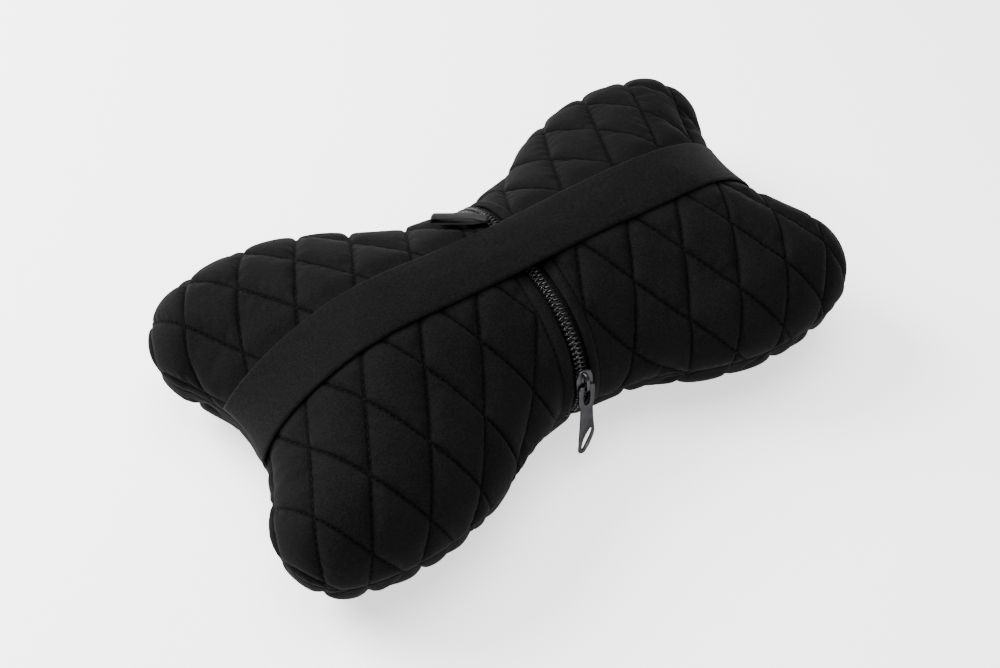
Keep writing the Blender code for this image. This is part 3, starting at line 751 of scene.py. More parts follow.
def tuck_in(mesh, chain, flat, facing):
    """The rim turned into the seam."""
    base = np.array([vert.co[:] for vert in chain])
    inward = outline_depth(flat)[1]
    inward = np.column_stack([inward, np.zeros(len(inward))])
    down = np.array([0, 0, facing * SEAM_DROP])
    roll_under(mesh, chain, [base + turn * inward + down for turn in SEAM_TURNS])


def front_cover(material):
    mesh, flat, _ = quilted_panel(FRONT, FRONT_QUILT_START, FRONT_STEPS, (front_edge,), press_front,
                                  lambda points: np.full(len(points), FAR_FROM_HEM))
    for vert in mesh.verts:
        vert.co.z = max(vert.co.z, 0.0)
    verts = list(mesh.verts)
    for chain, index in rim_chains(mesh, verts, [vert.is_boundary for vert in verts]):
        tuck_in(mesh, chain, flat[index], 1)
    bmesh.ops.reverse_faces(mesh, faces=mesh.faces[:])
    return finish_panel("front_cover", mesh, material)


# Thread

def capsules(rings, directions, radius, sides=6):
    """Mesh data for many short threads. rings is (threads, points along, 3)."""
    count, along, _ = rings.shape
    tangent = np.gradient(rings, axis=1)
    tangent /= np.linalg.norm(tangent, axis=2, keepdims=True)
    up = np.broadcast_to(directions[:, None], rings.shape)
    across = np.cross(tangent, up)
    across /= np.linalg.norm(across, axis=2, keepdims=True)
    up = np.cross(across, tangent)
    swell = np.ones(along)
    swell[[0, -1]] = 0.45
    angle = np.linspace(0, 2 * math.pi, sides, endpoint=False)
    circle = (np.cos(angle)[:, None] * across[:, :, None] + np.sin(angle)[:, None] * up[:, :, None])
    verts = rings[:, :, None] + radius * swell[:, None, None] * circle
    verts = verts.reshape(-1, 3)
    ring = np.arange(sides)
    turn = (ring + 1) % sides
    quads = np.concatenate([
        np.column_stack([k * sides + ring, k * sides + turn, (k + 1) * sides + turn, (k + 1) * sides + ring])
        for k in range(along - 1)])
    ends = [list(ring[::-1]), list((along - 1) * sides + ring)]
    faces = []
    for thread in range(count):
        base = thread * along * sides
        faces += (quads + base).tolist()
        faces += [[base + v for v in end] for end in ends]
    data = bpy.data.meshes.new("thread")
    data.from_pydata(verts.tolist(), [], faces)
    return data


def quilt_stitches(name, side, start, levels, material):
    """Short threads along every quilting line of one panel."""
    reach = QUILT_REACH
    edge_length = math.hypot(DIAMOND_X, DIAMOND_Y) / 2
    spots = np.arange(-reach, reach, STITCH_PITCH / edge_length)
    centres = []
    headings = []
    for line in range(-reach, reach + 1):
        fixed = np.full(len(spots), float(line))
        centres += [from_lattice(fixed, spots, start), from_lattice(spots, fixed, start)]
        headings += [np.tile(unit(math.atan2(-DIAMOND_Y, DIAMOND_X)), (len(spots), 1)),
                     np.tile(unit(math.atan2(-DIAMOND_Y, -DIAMOND_X)), (len(spots), 1))]
    centres = np.concatenate(centres)
    headings = np.concatenate(headings)
    inside = np.all([level(centres) > STITCH_PITCH * 0.8 for level in levels], axis=0)
    return thread_run(name, side, centres[inside], headings[inside], material)


def thread_run(name, side, centres, headings, material, lift=STITCH_LIFT):
    chance = np.random.default_rng(len(centres))
    along = np.array([-0.5, -0.3, 0.3, 0.5]) * STITCH_LENGTH
    arch = np.array([-STITCH_ARCH, 0.0, 0.0, -STITCH_ARCH])
    centres = centres + chance.normal(0, STITCH_WANDER, centres.shape)
    headings = headings + chance.normal(0, STITCH_TURN, headings.shape)
    length = chance.uniform(0.75, 1.1, len(centres))
    flat = centres[:, None] + along[None, :, None] * headings[:, None] * length[:, None, None]
    place, normal = side.place(flat.reshape(-1, 2))
    normal = normal.reshape(-1, 4, 3)
    rings = place.reshape(-1, 4, 3) + normal * (lift + arch)[None, :, None]
    data = capsules(rings, normal[:, 1], THREAD_RADIUS)
    return add_piece(name, data, material)


# Zip

def zip_line(y):
    """Where the zip's line lies across, at each y of the flat cloth."""
    return -beside_zip(np.column_stack([np.zeros(len(y)), y]))


def zip_threads(name, off, pitch, shift, lift, material):
    """A row of threads along the zip, a distance off to the right of its line."""
    half = ZIP_CLOTH - ZIP_THREAD_END
    y = np.arange(-half, half, pitch) - WAIST_SHIFT
    centres = np.column_stack([zip_line(y) + off, y + shift])
    headings = np.tile([0.0, 1.0], (len(y), 1))
    return thread_run(name, REAR, centres, headings, material, lift)


def zip_strip(near, far, half, steps_x, steps_y):
    """Flat points of a strip beside the zip's line, as rows across."""
    across = np.linspace(near, far, steps_x + 1)
    y = np.linspace(-half, half, steps_y + 1) - WAIST_SHIFT
    grid_x = zip_line(y)[:, None] + across[None]
    grid_y = np.broadcast_to(y[:, None], grid_x.shape)
    return np.column_stack([grid_x.ravel(), grid_y.ravel()])


def grid_faces(rows, columns):
    corner = np.arange(rows * columns).reshape(rows, columns)
    faces = np.stack([corner[:-1, :-1], corner[:-1, 1:], corner[1:, 1:], corner[1:, :-1]], -1)
    return faces.reshape(-1, 4)


def solid_grid(name, outer, inner, rows, columns, flat=None):
    """A closed mesh between two grids of points."""
    top = grid_faces(rows, columns)
    count = rows * columns
    corner = np.arange(count).reshape(rows, columns)
    rim = np.concatenate([corner[0, :-1], corner[:-1, -1], corner[-1, :0:-1], corner[:0:-1, 0]])
    following = np.roll(rim, -1)
    sides = np.column_stack([rim, rim + count, following + count, following])
    faces = np.concatenate([top, top[:, ::-1] + count, sides])
    data = bpy.data.meshes.new(name)
    data.from_pydata(np.concatenate([outer, inner]).tolist(), [], faces.tolist())
    if flat is not None:
        cloth = data.attributes.new("cloth", "FLOAT_VECTOR", "POINT")
        both = np.zeros((2 * count, 3))
        both[:count, :2] = flat
        both[count:, :2] = flat
        cloth.data.foreach_set("vector", both.ravel())
    return data


def zip_tape(name, side, material):
    rows, columns = TAPE_GRID
    near, far = sorted((side * TAPE_NEAR, side * TAPE_FAR))
    flat = zip_strip(near, far, ZIP_CLOTH - SEAM_GAP, columns - 1, rows - 1)
    outer = REAR.place(flat, TAPE_LEVEL)[0]
    inner = REAR.place(flat, TAPE_LEVEL - TAPE_THICKNESS)[0]
    return add_piece(name, solid_grid(name, outer, inner, rows, columns, flat), material)


def add_line(curve, points, closed):
    """A straight-sided line of a curve through points in space."""
    spline = curve.splines.new("POLY")
    spline.points.add(len(points) - 1)
    for target, point in zip(spline.points, points):
        target.co = (*point, 1)
    spline.use_cyclic_u = closed


def zip_coil(name, side, material):
    """One half of the chain: a flattened wire coil with its heads at the middle."""
    half = ZIP_CLOTH - COIL_END
    teeth = int(2 * half / COIL_PITCH)
    number = np.repeat(np.arange(teeth), len(COIL_TURN))
    shape = np.tile(COIL_TURN, (teeth, 1))
    shift = 0.5 if side > 0 else 0.0
    y = -half - WAIST_SHIFT + (number + shape[:, 2] + shift) * COIL_PITCH
    across = side * shape[:, 0] * COIL_HALF
    flat = np.column_stack([zip_line(y) + across, y])
    lift = COIL_LOW + shape[:, 1] * (COIL_HIGH - COIL_LOW)
    curve = bpy.data.curves.new(name, "CURVE")
    curve.dimensions = "3D"
    curve.bevel_depth = COIL_WIRE
    curve.bevel_resolution = 2
    curve.use_fill_caps = True
    add_line(curve, REAR.place(flat, lift)[0], False)
    return add_piece(name, mesh_of(curve), material)


def mesh_of(curve):
    """Plain mesh data made from a curve."""
    holder = link_object(curve.name, curve)
    bpy.context.view_layer.update()
    depsgraph = bpy.context.evaluated_depsgraph_get()
    data = bpy.data.meshes.new_from_object(holder.evaluated_get(depsgraph))
    bpy.data.objects.remove(holder)
    return mend(data, CURVE_MERGE)


def plate_outline(name, outlines, thickness, rounding):
    """Mesh data of a flat plate with rounded edges from closed outlines."""
    curve = bpy.data.curves.new(name, "CURVE")
    curve.dimensions = "2D"
    curve.fill_mode = "BOTH"
    curve.extrude = thickness / 2 - rounding
    curve.bevel_depth = rounding
    curve.bevel_resolution = 2
    curve.offset = -rounding
    for points in outlines:
        add_line(curve, [(x, y, 0) for x, y in points], True)
    return mesh_of(curve)


def arc(centre, radius, start, end, steps):
    return [(centre[0] + radius * math.cos(angle), centre[1] + radius * math.sin(angle))
            for angle in np.linspace(start, end, steps)]


def soften(points, rounds=2):
    """A closed outline with its corners cut round."""
    points = np.array(points)
    for _ in range(rounds):
        following = np.roll(points, -1, axis=0)
        points = np.stack([0.75 * points + 0.25 * following, 0.25 * points + 0.75 * following], 1)
        points = points.reshape(-1, 2)
    return points.tolist()


def scaled(shares, half, length):
    """An outline given as shares of half the width and of a length."""
    return (np.array(shares) * (half, length)).tolist()


def tangents(path):
    """Unit directions along a path."""
    tangent = np.gradient(path, axis=0)
    return tangent / np.linalg.norm(tangent, axis=1)[:, None]


def slider_frame():
    """Matrix from the slider's own axes to the world at rest, on the bend's centre."""
    centre = (ZIP_X - ZIP_SLANT * ZIP_FRONT, -ZIP_FRONT, ZIP_TOP - ZIP_BEND)
    return (Matrix.Translation(centre) @ Matrix.Rotation(-math.atan(ZIP_SLANT), 4, "Z")
            @ Matrix.Rotation(SLIDER_REST, 4, "X"))


def slider_body(material):
    """Top plate, side flanges and bridge of the slider."""
    half = SLIDER_LENGTH / 2
    outline = soften(scaled(PLATE_SHAPE, SLIDER_WIDTH / 2, half))
    plate = plate_outline("plate", [outline], PLATE_THICKNESS, PLATE_ROUNDING)
    level = ZIP_BEND + PLATE_LEVEL
    plate.transform(Matrix.Translation((0, 0, level + PLATE_THICKNESS / 2)))
    pieces = [plate]
    profile = [(-half * 0.68, CHEEK_LOW), (half * 0.55, CHEEK_LOW),
               (half * 0.70, CHEEK_TOP), (-half * 0.70, CHEEK_TOP)]
    for side in (-1, 1):
        cheek = plate_outline("cheek", [profile], CHEEK_THICKNESS, CHEEK_ROUNDING)
        cheek.transform(Matrix(((0, 0, 1, side * CHEEK_X), (1, 0, 0, 0),
                                (0, 1, 0, ZIP_BEND), (0, 0, 0, 1))))
        pieces.append(cheek)
    middle = BRIDGE_RISE - BRIDGE_BAR / 2
    reach = BRIDGE_HALF - BRIDGE_BAR / 2
    path = [(reach, BRIDGE_FOOT)] + arc((reach - middle, 0), middle, 0, math.pi / 2, 8)
    path += arc((middle - reach, 0), middle, math.pi / 2, math.pi, 8) + [(-reach, BRIDGE_FOOT)]
    bridge = flat_bar("bridge", path, BRIDGE_BAR, BRIDGE_WIDTH)
    bridge.transform(Matrix.Translation((0, 0, level + PLATE_THICKNESS)))
    pieces.append(bridge)
    dome = bmesh.new()
    bmesh.ops.create_uvsphere(dome, u_segments=20, v_segments=10, radius=1)
    bmesh.ops.scale(dome, vec=DOME_SIZE, verts=dome.verts)
    bmesh.ops.translate(dome, vec=(0, half * 0.20, level + PLATE_THICKNESS), verts=dome.verts)
    pieces.append(as_data("dome", dome))
    joined = join_data(pieces)
    return pose_piece("metal_slider", joined, slider_frame(), material, "slider")


def flat_bar(name, path, thickness, width):
    """A rounded bar that follows a path in the YZ plane, width across X."""
    path = np.array(path)
    tangent = tangents(path)
    normal = np.column_stack([-tangent[:, 1], tangent[:, 0]])
    section = soften([(-1, -1), (1, -1), (1, 1), (-1, 1)], 2)
    verts = []
    for point, out in zip(path, normal):
        for a, b in section:
            offset = out * b * thickness / 2
            verts.append((a * width / 2, point[0] + offset[0], point[1] + offset[1]))
    sides = len(section)
    faces = []
    for k in range(len(path) - 1):
        for m in range(sides):
            n = (m + 1) % sides
            faces.append((k * sides + m, k * sides + n, (k + 1) * sides + n, (k + 1) * sides + m))
    faces.append(tuple(range(sides)))
    faces.append(tuple((len(path) - 1) * sides + m for m in range(sides)))
    data = bpy.data.meshes.new(name)
    data.from_pydata(verts, [], faces)
    return mend(data)


def join_data(pieces):
    mesh = bmesh.new()
    for data in pieces:
        mesh.from_mesh(data)
    return as_data("joined", mesh)


def pose_piece(name, data, matrix, material, body):
    data.name = name
    data.transform(matrix)
    piece = add_piece(name, data, material, body)
    data.set_sharp_from_angle(angle=math.radians(35))
    return piece


def zip_pull(material):
    """The leaf-shaped pull with a slanted hole, hung round the bridge."""
    half = PULL_HALF
    top = PULL_BAR / 2
    neck = PULL_EYE + PULL_NECK
    waist = half * 0.76
    outline = arc((half * 0.5, top - half * 0.5), half * 0.5, math.pi / 2, 0, 8)
    outline += [(half, -PULL_EYE + 0.003), (half * 0.96, -PULL_EYE + 0.001), (waist, -neck)]
    outline.append((waist * 1.05, -neck - PULL_WAIST))
    outline += scaled(PULL_SHAPE, half, PULL_LENGTH)
    outline += arc((-half + PULL_TIP_INSET, -PULL_LENGTH + PULL_TIP), PULL_TIP,
                   math.radians(290), math.radians(190), 8)
    outline += [(-waist * 1.05, -neck - PULL_WAIST), (-waist, -neck)]
    outline += [(-half * 0.96, -PULL_EYE + 0.001), (-half, -PULL_EYE + 0.003)]
    outline += arc((-half * 0.5, top - half * 0.5), half * 0.5, math.pi, math.pi / 2, 8)
    eye_half = BRIDGE_WIDTH / 2 + PULL_PLAY
    eye = soften([(eye_half, -PULL_BAR / 2), (-eye_half, -PULL_BAR / 2),
                  (-eye_half, -PULL_EYE), (eye_half, -PULL_EYE)], 3)
    hole = soften(scaled(PULL_HOLE, half, PULL_LENGTH))
    data = plate_outline("pull", [outline, eye, hole], PULL_THICKNESS, PULL_ROUNDING)
    rise = ZIP_BEND + PLATE_LEVEL + PLATE_THICKNESS + PIVOT_RISE
    pivot = Matrix.Translation((0, -PULL_PIVOT, rise))
    matrix = slider_frame() @ pivot @ Matrix.Rotation(PULL_DROP, 4, "X")
    return pose_piece("metal_pull", data, matrix, material, "pull")


# Strap and label

def elastic_strap(material):
    """The elastic, with thin selvedges, bridging the zip's valley and thinning towards its ends."""
    rows, columns = STRAP_GRID
    across = np.linspace(-STRAP_WIDTH / 2, STRAP_WIDTH / 2, columns)
    x = np.linspace(NOTCH_X * 0.6, LOBE_X + CORNER_RADIUS + REAR_ROUNDING, 900)
    ends = []
    for side in (-1, 1):
        reach = []
        for off in across:
            edge = rear_edge(np.column_stack([side * x, strap_line(side * x) + off]))
            reach.append(side * np.interp(-STRAP_END, -edge, x))
        ends.append(np.array(reach))
    share = np.linspace(0, 1, rows)[:, None]
    grid_x = ends[0] + share * (ends[1] - ends[0])
    grid_y = strap_line(grid_x) + across[None]
    flat = np.column_stack([grid_x.ravel(), grid_y.ravel()])
    from_edge = np.tile(STRAP_WIDTH / 2 - np.abs(across), rows)
    inward = np.clip(from_edge / SELVEDGE_ROUNDING, 0, 1)
    rounding = np.sqrt(np.clip(1 - (1 - inward) ** 2, 0.02, 1))
    groove = SELVEDGE_GROOVE * bump(from_edge, SELVEDGE_PLACE, SELVEDGE_WIDTH)
    rise = smooth_step(rear_edge(flat) / SEAM_FADE)
    half = STRAP_THICKNESS / 2 * (1 - STRAP_END_THINNING * (1 - rise))
    middle = STRAP_END_LEVEL + (STRAP_LEVEL - STRAP_END_LEVEL) * rise + half
    top = middle + half * rounding - groove
    bottom = middle - half * rounding
    outer = REAR_BRIDGED.place(flat, top)[0]
    inner = REAR_BRIDGED.place(flat, bottom)[0]
    data = solid_grid("elastic strap", inner, outer, rows, columns, flat)
    data.flip_normals()
    piece = add_piece("woven_strap", data, material)
    return piece


def label(material):
    """A bare folded ribbon beside the zip, slightly curled at its free fold."""
    root = REAR.place(np.array([[LABEL_X, LABEL_Y]]), LABEL_GAP + LABEL_RIBBON)[0][0]
    outer = LABEL_LOOP / 2
    turn = LABEL_REACH - outer - LABEL_RIBBON
    foot = LABEL_RIBBON * 0.6
    path = [(0, -foot), (LABEL_NECK * 0.5, -foot), (2 * LABEL_NECK, -outer)]
    path += arc((turn, 0), outer, -math.pi / 2, math.pi / 2, 14)
    path += [(2 * LABEL_NECK, outer), (LABEL_NECK * 0.5, foot), (0, foot)]
    path = np.array(path)
    tangent = tangents(path)
    normal = np.column_stack([tangent[:, 1], -tangent[:, 0]])
    across = np.linspace(-LABEL_WIDTH / 2, LABEL_WIDTH / 2, LABEL_COLUMNS)
    curl = LABEL_CURL * (across / (LABEL_WIDTH / 2)) ** 2
    grids = []
    for sign in (1, -1):
        grid = []
        for (along, rise), out in zip(path, normal):
            sag = curl * (along / LABEL_REACH) ** 2
            out = sign * out * LABEL_RIBBON / 2
            grid += [(x, along + out[0], rise + out[1] - low) for x, low in zip(across, sag)]
        grids.append(np.array(grid))
    flat = np.array([(x, k * LABEL_STEP) for k in range(len(path)) for x in across])
    data = mend(solid_grid("label", *grids, len(path), LABEL_COLUMNS, flat))
    matrix = (Matrix.Translation(root) @ Matrix.Rotation(LABEL_HEADING, 4, "Z")
              @ Matrix.Rotation(-LABEL_DROOP, 4, "X") @ Matrix.Rotation(LABEL_ROLL, 4, "Y"))
    data.transform(matrix)
    return add_piece("bare_label", data, material)


def inner_cushion(material):
    """The stuffed bag inside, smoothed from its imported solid."""
    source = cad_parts["inner_cushion"]
    data = source.data.copy()
    data.transform(source.matrix_world)
    mend(data, CUSHION_MERGE, False)
    piece = add_piece("lined_cushion", data, material)
    smooth(piece)
    return piece


# Materials

def grey(level):
    return (level, level, level)


class Nodes:
    """A new Principled material and short ways to add nodes to it."""

    def __init__(self, name):
        self.material = bpy.data.materials.new(name)
        self.material.use_nodes = True
        self.tree = self.material.node_tree
        self.shader = self.tree.nodes["Principled BSDF"]

    def add(self, kind, **values):
        node = self.tree.nodes.new(kind)
        for key, value in values.items():
            setattr(node, key, value)
        return node

    def link(self, start, end):
        self.tree.links.new(start, end)

    def value(self, socket, value):
        self.shader.inputs[socket].default_value = value

    def drive(self, socket, output):
        self.link(output, self.shader.inputs[socket])

    def cloth_points(self):
        node = self.add("ShaderNodeAttribute", attribute_name="cloth")
        return node.outputs["Vector"]

    def object_points(self):
        return self.add("ShaderNodeTexCoord").outputs["Object"]

    def noise(self, points, scale, detail=3.0, roughness=0.55):
        node = self.add("ShaderNodeTexNoise")
        node.inputs["Scale"].default_value = scale
        node.inputs["Detail"].default_value = detail
        node.inputs["Roughness"].default_value = roughness
        self.link(points, node.inputs["Vector"])
        return node.outputs["Fac"]

    def wave(self, points, direction, scale, distortion=0.0):
        node = self.add("ShaderNodeTexWave", wave_type="BANDS", bands_direction=direction,
                        wave_profile="SIN")
        node.inputs["Scale"].default_value = scale
        node.inputs["Distortion"].default_value = distortion
        node.inputs["Detail"].default_value = 1.0
        self.link(points, node.inputs["Vector"])
        return node.outputs["Fac"]

    def math(self, operation, first, second):
        node = self.add("ShaderNodeMath", operation=operation)
        for socket, value in zip(node.inputs, (first, second)):
            if isinstance(value, (int, float)):
                socket.default_value = value
            else:
                self.link(value, socket)
        return node.outputs["Value"]

    def clamped(self, value):
        node = self.add("ShaderNodeClamp")
        self.link(value, node.inputs["Value"])
        return node.outputs["Result"]

    def ramp(self, fac, low, high):
        """Map 0..1 to a range between two values."""
        node = self.add("ShaderNodeMapRange")
        self.link(fac, node.inputs["Value"])
        node.inputs["To Min"].default_value = low
        node.inputs["To Max"].default_value = high
        return node.outputs["Result"]

    def colour(self, fac, first, second):
        """The base colour, between two colours."""
        node = self.add("ShaderNodeMix", data_type="RGBA")
        self.link(fac, node.inputs["Factor"])
        node.inputs["A"].default_value = (*first, 1)
        node.inputs["B"].default_value = (*second, 1)
        self.drive("Base Color", node.outputs["Result"])

    def bump(self, height, distance, strength=1.0, after=None):
        node = self.add("ShaderNodeBump")
        node.inputs["Distance"].default_value = distance
        node.inputs["Strength"].default_value = strength
        self.link(height, node.inputs["Height"])
        if after is not None:
            self.link(after, node.inputs["Normal"])
        return node.outputs["Normal"]


def painted_groove_shade(n):
    """Painted shade beside the quilting lines and the hem stitching: how dark the cover is painted there,
    from 0 to 1.
    """
    quilting = n.add("ShaderNodeAttribute", attribute_name="quilting").outputs["Vector"]
    parts = n.add("ShaderNodeSeparateXYZ")
    n.link(quilting, parts.inputs["Vector"])
    lines = n.math("MINIMUM", n.math("PINGPONG", parts.outputs["X"], 0.5),
                   n.math("PINGPONG", parts.outputs["Y"], 0.5))
    quilted = n.clamped(n.math("SUBTRACT", 1.0, n.math("DIVIDE", lines, GROOVE_SHADE_SHARE)))
    off = n.math("SUBTRACT", parts.outputs["Z"], HEM_STITCH)
    quilted = n.math("MULTIPLY", quilted, n.math("GREATER_THAN", off, 0.0))
    hem = n.clamped(n.math("SUBTRACT", 1.0, n.math("DIVIDE", n.math("ABSOLUTE", off, 0.0), HEM_SHADE_WIDTH)))
    return n.math("MAXIMUM", quilted, hem)


def cover_material():
    """Matte black knit, very fine and mottled, with a soft grazing sheen and painted shade along the
    quilting grooves and the hem stitching.
    """
    n = Nodes("black quilted knit")
    body = n.object_points()
    blotch = n.noise(body, 60, 4)
    grain = n.noise(body, 1300, 3, 0.7)
    shade_unevenness = n.noise(body, 420, 2, 0.6)
    # Painted shade in the quilting grooves and along the hem stitching, made uneven by noise; lit is the
    # unshaded share, which also sets the sheen and a bump.
    dark = n.math("MULTIPLY", painted_groove_shade(n), n.ramp(shade_unevenness, 0.45, 1.35))
    lit = n.clamped(n.math("SUBTRACT", 1.0, dark))
    coarse = n.math("MULTIPLY", blotch, 0.45)
    shade = n.math("ADD", coarse, n.math("MULTIPLY", n.ramp(grain, -0.9, 1.9), 0.55))
    n.colour(n.math("MULTIPLY", shade, lit), grey(0.0003), (0.0068, 0.0067, 0.0069))
    n.drive("Roughness", n.ramp(blotch, 0.80, 0.95))
    n.value("Specular IOR Level", 0.03)
    n.drive("Sheen Weight", n.math("MULTIPLY", lit, 0.011))
    n.value("Sheen Roughness", 0.35)
    n.value("Sheen Tint", (0.9, 0.9, 0.95, 1))
    knit = n.bump(grain, 0.00022, 0.8)
    creased = n.bump(n.noise(body, 150, 3), 0.0007, 0.45, knit)
    n.drive("Normal", n.bump(lit, 0.0005, 0.6, creased))
    return n.material


def thread_material():
    """Black spun thread, a little glossier than the cloth."""
    n = Nodes("black thread")
    body = n.object_points()
    n.colour(n.noise(body, 900), grey(0.0004), grey(0.0055))
    n.value("Roughness", 0.7)
    n.value("Specular IOR Level", 0.04)
    n.drive("Normal", n.bump(n.wave(body, "DIAGONAL", 900), 0.00005, 0.6))
    return n.material


def strap_material():
    """Ribbed black elastic with fine cross lines."""
    n = Nodes("black ribbed elastic")
    cloth = n.cloth_points()
    body = n.object_points()
    ribs = n.wave(cloth, "X", 520, 0.6)
    cords = n.wave(cloth, "Y", 430, 0.6)
    blotch = n.noise(body, 60, 3)
    yarns = n.math("ADD", n.math("MULTIPLY", ribs, 0.6), n.math("MULTIPLY", cords, 0.4))
    weave = n.math("MULTIPLY", yarns, n.ramp(n.noise(body, 1100, 3, 0.7), -0.9, 2.6))
    shade = n.math("MULTIPLY", weave, n.ramp(blotch, 0.75, 1.15))
    n.colour(shade, grey(0.0004), (0.0078, 0.0078, 0.0080))
    n.value("Roughness", 0.8)
    n.value("Specular IOR Level", 0.03)
    n.value("Sheen Weight", 0.008)
    n.value("Sheen Roughness", 0.4)
    n.drive("Normal", n.bump(weave, 0.00012, 0.8))
    return n.material


def woven(n, weave, dark, light, roughness, depth, strength):
    """Finish a material whose threads show as colour and relief."""
    n.colour(weave, dark, light)
    n.value("Roughness", roughness)
    n.drive("Normal", n.bump(weave, depth, strength))
    return n.material


def tape_material():
    n = Nodes("black woven tape")
    cloth = n.cloth_points()
    n.value("Specular IOR Level", 0.05)
    weave = n.math("MULTIPLY", n.wave(cloth, "X", 420, 0.3), n.wave(cloth, "Y", 420, 0.3))
    return woven(n, weave, grey(0.001), grey(0.004), 0.85, 0.00015, 0.8)


def coil_material():
    """Black nylon, smooth enough to catch small lights."""
    n = Nodes("black nylon coil")
    body = n.object_points()
    n.value("Base Color", (0.008, 0.008, 0.008, 1))
    n.drive("Roughness", n.ramp(n.noise(body, 700), 0.24, 0.42))
    n.value("Specular IOR Level", 0.45)
    return n.material


def metal_material():
    """Dark gunmetal plating with a faint orange-peel and worn edges."""
    n = Nodes("gunmetal plating")
    body = n.object_points()
    wear = n.noise(body, 260, 4)
    geometry = n.add("ShaderNodeNewGeometry")
    edge = n.ramp(geometry.outputs["Pointiness"], -6.0, 7.0)
    worn = n.math("MULTIPLY", edge, n.ramp(wear, 0.2, 0.8))
    n.colour(worn, (0.014, 0.014, 0.0147), (0.060, 0.060, 0.063))
    n.value("Metallic", 0.95)
    n.value("Specular IOR Level", 0.2)
    n.value("Specular Tint", (0.3, 0.3, 0.3, 1))
    n.drive("Roughness", n.ramp(wear, 0.26, 0.42))
    n.drive("Normal", n.bump(n.noise(body, 1400, 2), 0.00003, 0.5))
    return n.material


def ribbon_material():
    n = Nodes("black satin ribbon")
    n.value("Specular IOR Level", 0.05)
    weave = n.wave(n.cloth_points(), "X", 600, 0.2)
    return woven(n, weave, grey(0.004), grey(0.012), 0.7, 0.0001, 0.5)


def lining_material():
    n = Nodes("white lining cloth")
    body = n.object_points()
    weave = n.math("MULTIPLY", n.wave(body, "X", 500, 0.4), n.wave(body, "Y", 500, 0.4))
    return woven(n, weave, (0.62, 0.62, 0.60), (0.78, 0.78, 0.76), 0.9, 0.0001, 0.6)


def floor_material():
    n = Nodes("white studio floor")
    body = n.object_points()
    n.colour(n.noise(body, 3, 2), grey(0.93), grey(0.95))
    n.value("Roughness", 0.6)
    n.value("Specular IOR Level", 0.2)
    n.value("Emission Color", (1, 1, 1, 1))
    n.value("Emission Strength", 1.3)
    return n.material


# The pillow

cover_cloth = cover_material()
thread = thread_material()

left = rear_cover("rear_cover_left", -1, LEFT_QUILT_START, LEFT_FOLD, cover_cloth)
right = rear_cover("rear_cover_right", 1, RIGHT_QUILT_START, RIGHT_FOLD, cover_cloth)
bottom = front_cover(cover_cloth)
cushion = inner_cushion(lining_material())
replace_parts(left, "cover_rear_left")
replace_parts(right, "cover_rear_right")
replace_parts(bottom, "cover_front")
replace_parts(cushion, "inner_cushion")


REAR_LEFT = (rear_edge, beyond(-1, HEM_STITCH))
REAR_RIGHT = (rear_edge, beyond(1, HEM_STITCH))
quilt_stitches("quilting_thread_left", REAR, LEFT_QUILT_START, REAR_LEFT, thread)
quilt_stitches("quilting_thread_right", REAR, RIGHT_QUILT_START, REAR_RIGHT, thread)
quilt_stitches("quilting_thread_front", FRONT, FRONT_QUILT_START, (front_edge,), thread)
for side, word in ((-1, "left"), (1, "right")):
    zip_threads("hem_thread_" + word, side * HEM_STITCH, STITCH_PITCH * 0.9, 0,
                STITCH_LIFT * 0.6, thread)

tape_cloth = tape_material()
nylon = coil_material()
for side, word in ((-1, "left"), (1, "right")):
    tape = zip_tape("woven_tape_" + word, side, tape_cloth)
    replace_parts(tape, "zip_tape_" + word)
    coil = zip_coil("wire_coil_" + word, side, nylon)
    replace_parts(coil, "zip_coil_" + word)
    zip_threads("coil_thread_" + word, side * COIL_HALF * 0.62, COIL_PITCH,
                COIL_PITCH * (0.3 if side > 0 else 0.8), COIL_HIGH + COIL_WIRE, thread)

metal = metal_material()
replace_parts(slider_body(metal), "zip_slider")
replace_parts(zip_pull(metal), "zip_pull")

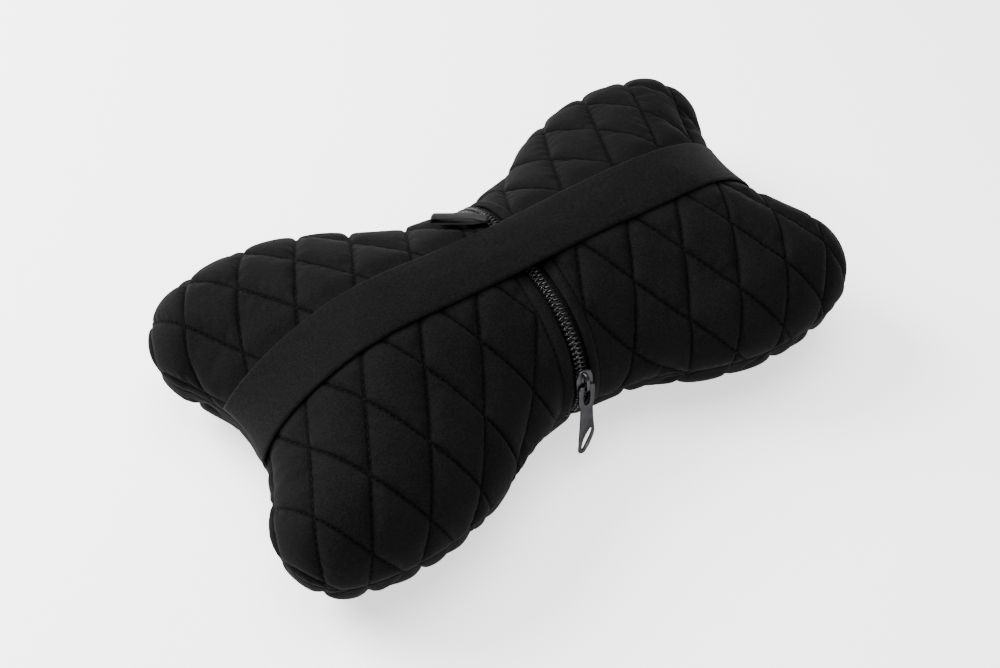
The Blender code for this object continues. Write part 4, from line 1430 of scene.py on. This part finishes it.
strap = elastic_strap(strap_material())
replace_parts(strap, "elastic_strap")
ribbon = label(ribbon_material())
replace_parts(ribbon, "label")


# Camera, floor and light

def camera():
    """The photo's viewpoint, fitted to the outline, seam and quilting."""
    back = Vector((math.sin(CAMERA_AZIMUTH) * math.cos(CAMERA_ELEVATION),
                   -math.cos(CAMERA_AZIMUTH) * math.cos(CAMERA_ELEVATION),
                   math.sin(CAMERA_ELEVATION)))
    level = Vector((math.cos(CAMERA_AZIMUTH), math.sin(CAMERA_AZIMUTH), 0))
    up = back.cross(level)
    right = math.cos(CAMERA_ROLL) * level + math.sin(CAMERA_ROLL) * up
    top = math.cos(CAMERA_ROLL) * up - math.sin(CAMERA_ROLL) * level
    data = bpy.data.cameras.new("camera")
    data.lens = CAMERA_LENS
    data.sensor_width = 36
    data.sensor_fit = "HORIZONTAL"
    data.clip_start = 0.01
    piece = link_object("camera", data)
    place = Vector(CAMERA_TARGET) + back * CAMERA_DISTANCE
    piece.matrix_world = Matrix(((right.x, top.x, back.x, place.x), (right.y, top.y, back.y, place.y),
                                 (right.z, top.z, back.z, place.z), (0, 0, 0, 1)))
    bpy.context.scene.camera = piece


def floor():
    mesh = bmesh.new()
    bmesh.ops.create_grid(mesh, x_segments=2, y_segments=2, size=4)
    data = as_data("floor", mesh)
    piece = link_object("floor", data)
    data.materials.append(floor_material())


def area_light(name, place, aim, size, power):
    data = bpy.data.lights.new(name, "AREA")
    data.shape = "DISK"
    data.size = size
    data.energy = power
    piece = link_object(name, data)
    piece.location = place
    piece.rotation_euler = (Vector(aim) - Vector(place)).to_track_quat("-Z", "Y").to_euler()


def studio():
    world = bpy.data.worlds.new("studio")
    bpy.context.scene.world = world
    world.use_nodes = True
    background = world.node_tree.nodes["Background"]
    background.inputs["Color"].default_value = (1, 1, 1, 1)
    background.inputs["Strength"].default_value = 0.55
    area_light("back_softbox", (-0.60, 0.75, 0.85), (0, 0, 0.04), 0.7, 48)
    area_light("top_softbox", (0.0, 0.10, 1.3), (0, 0, 0.04), 0.9, 22)


camera()
floor()
studio()
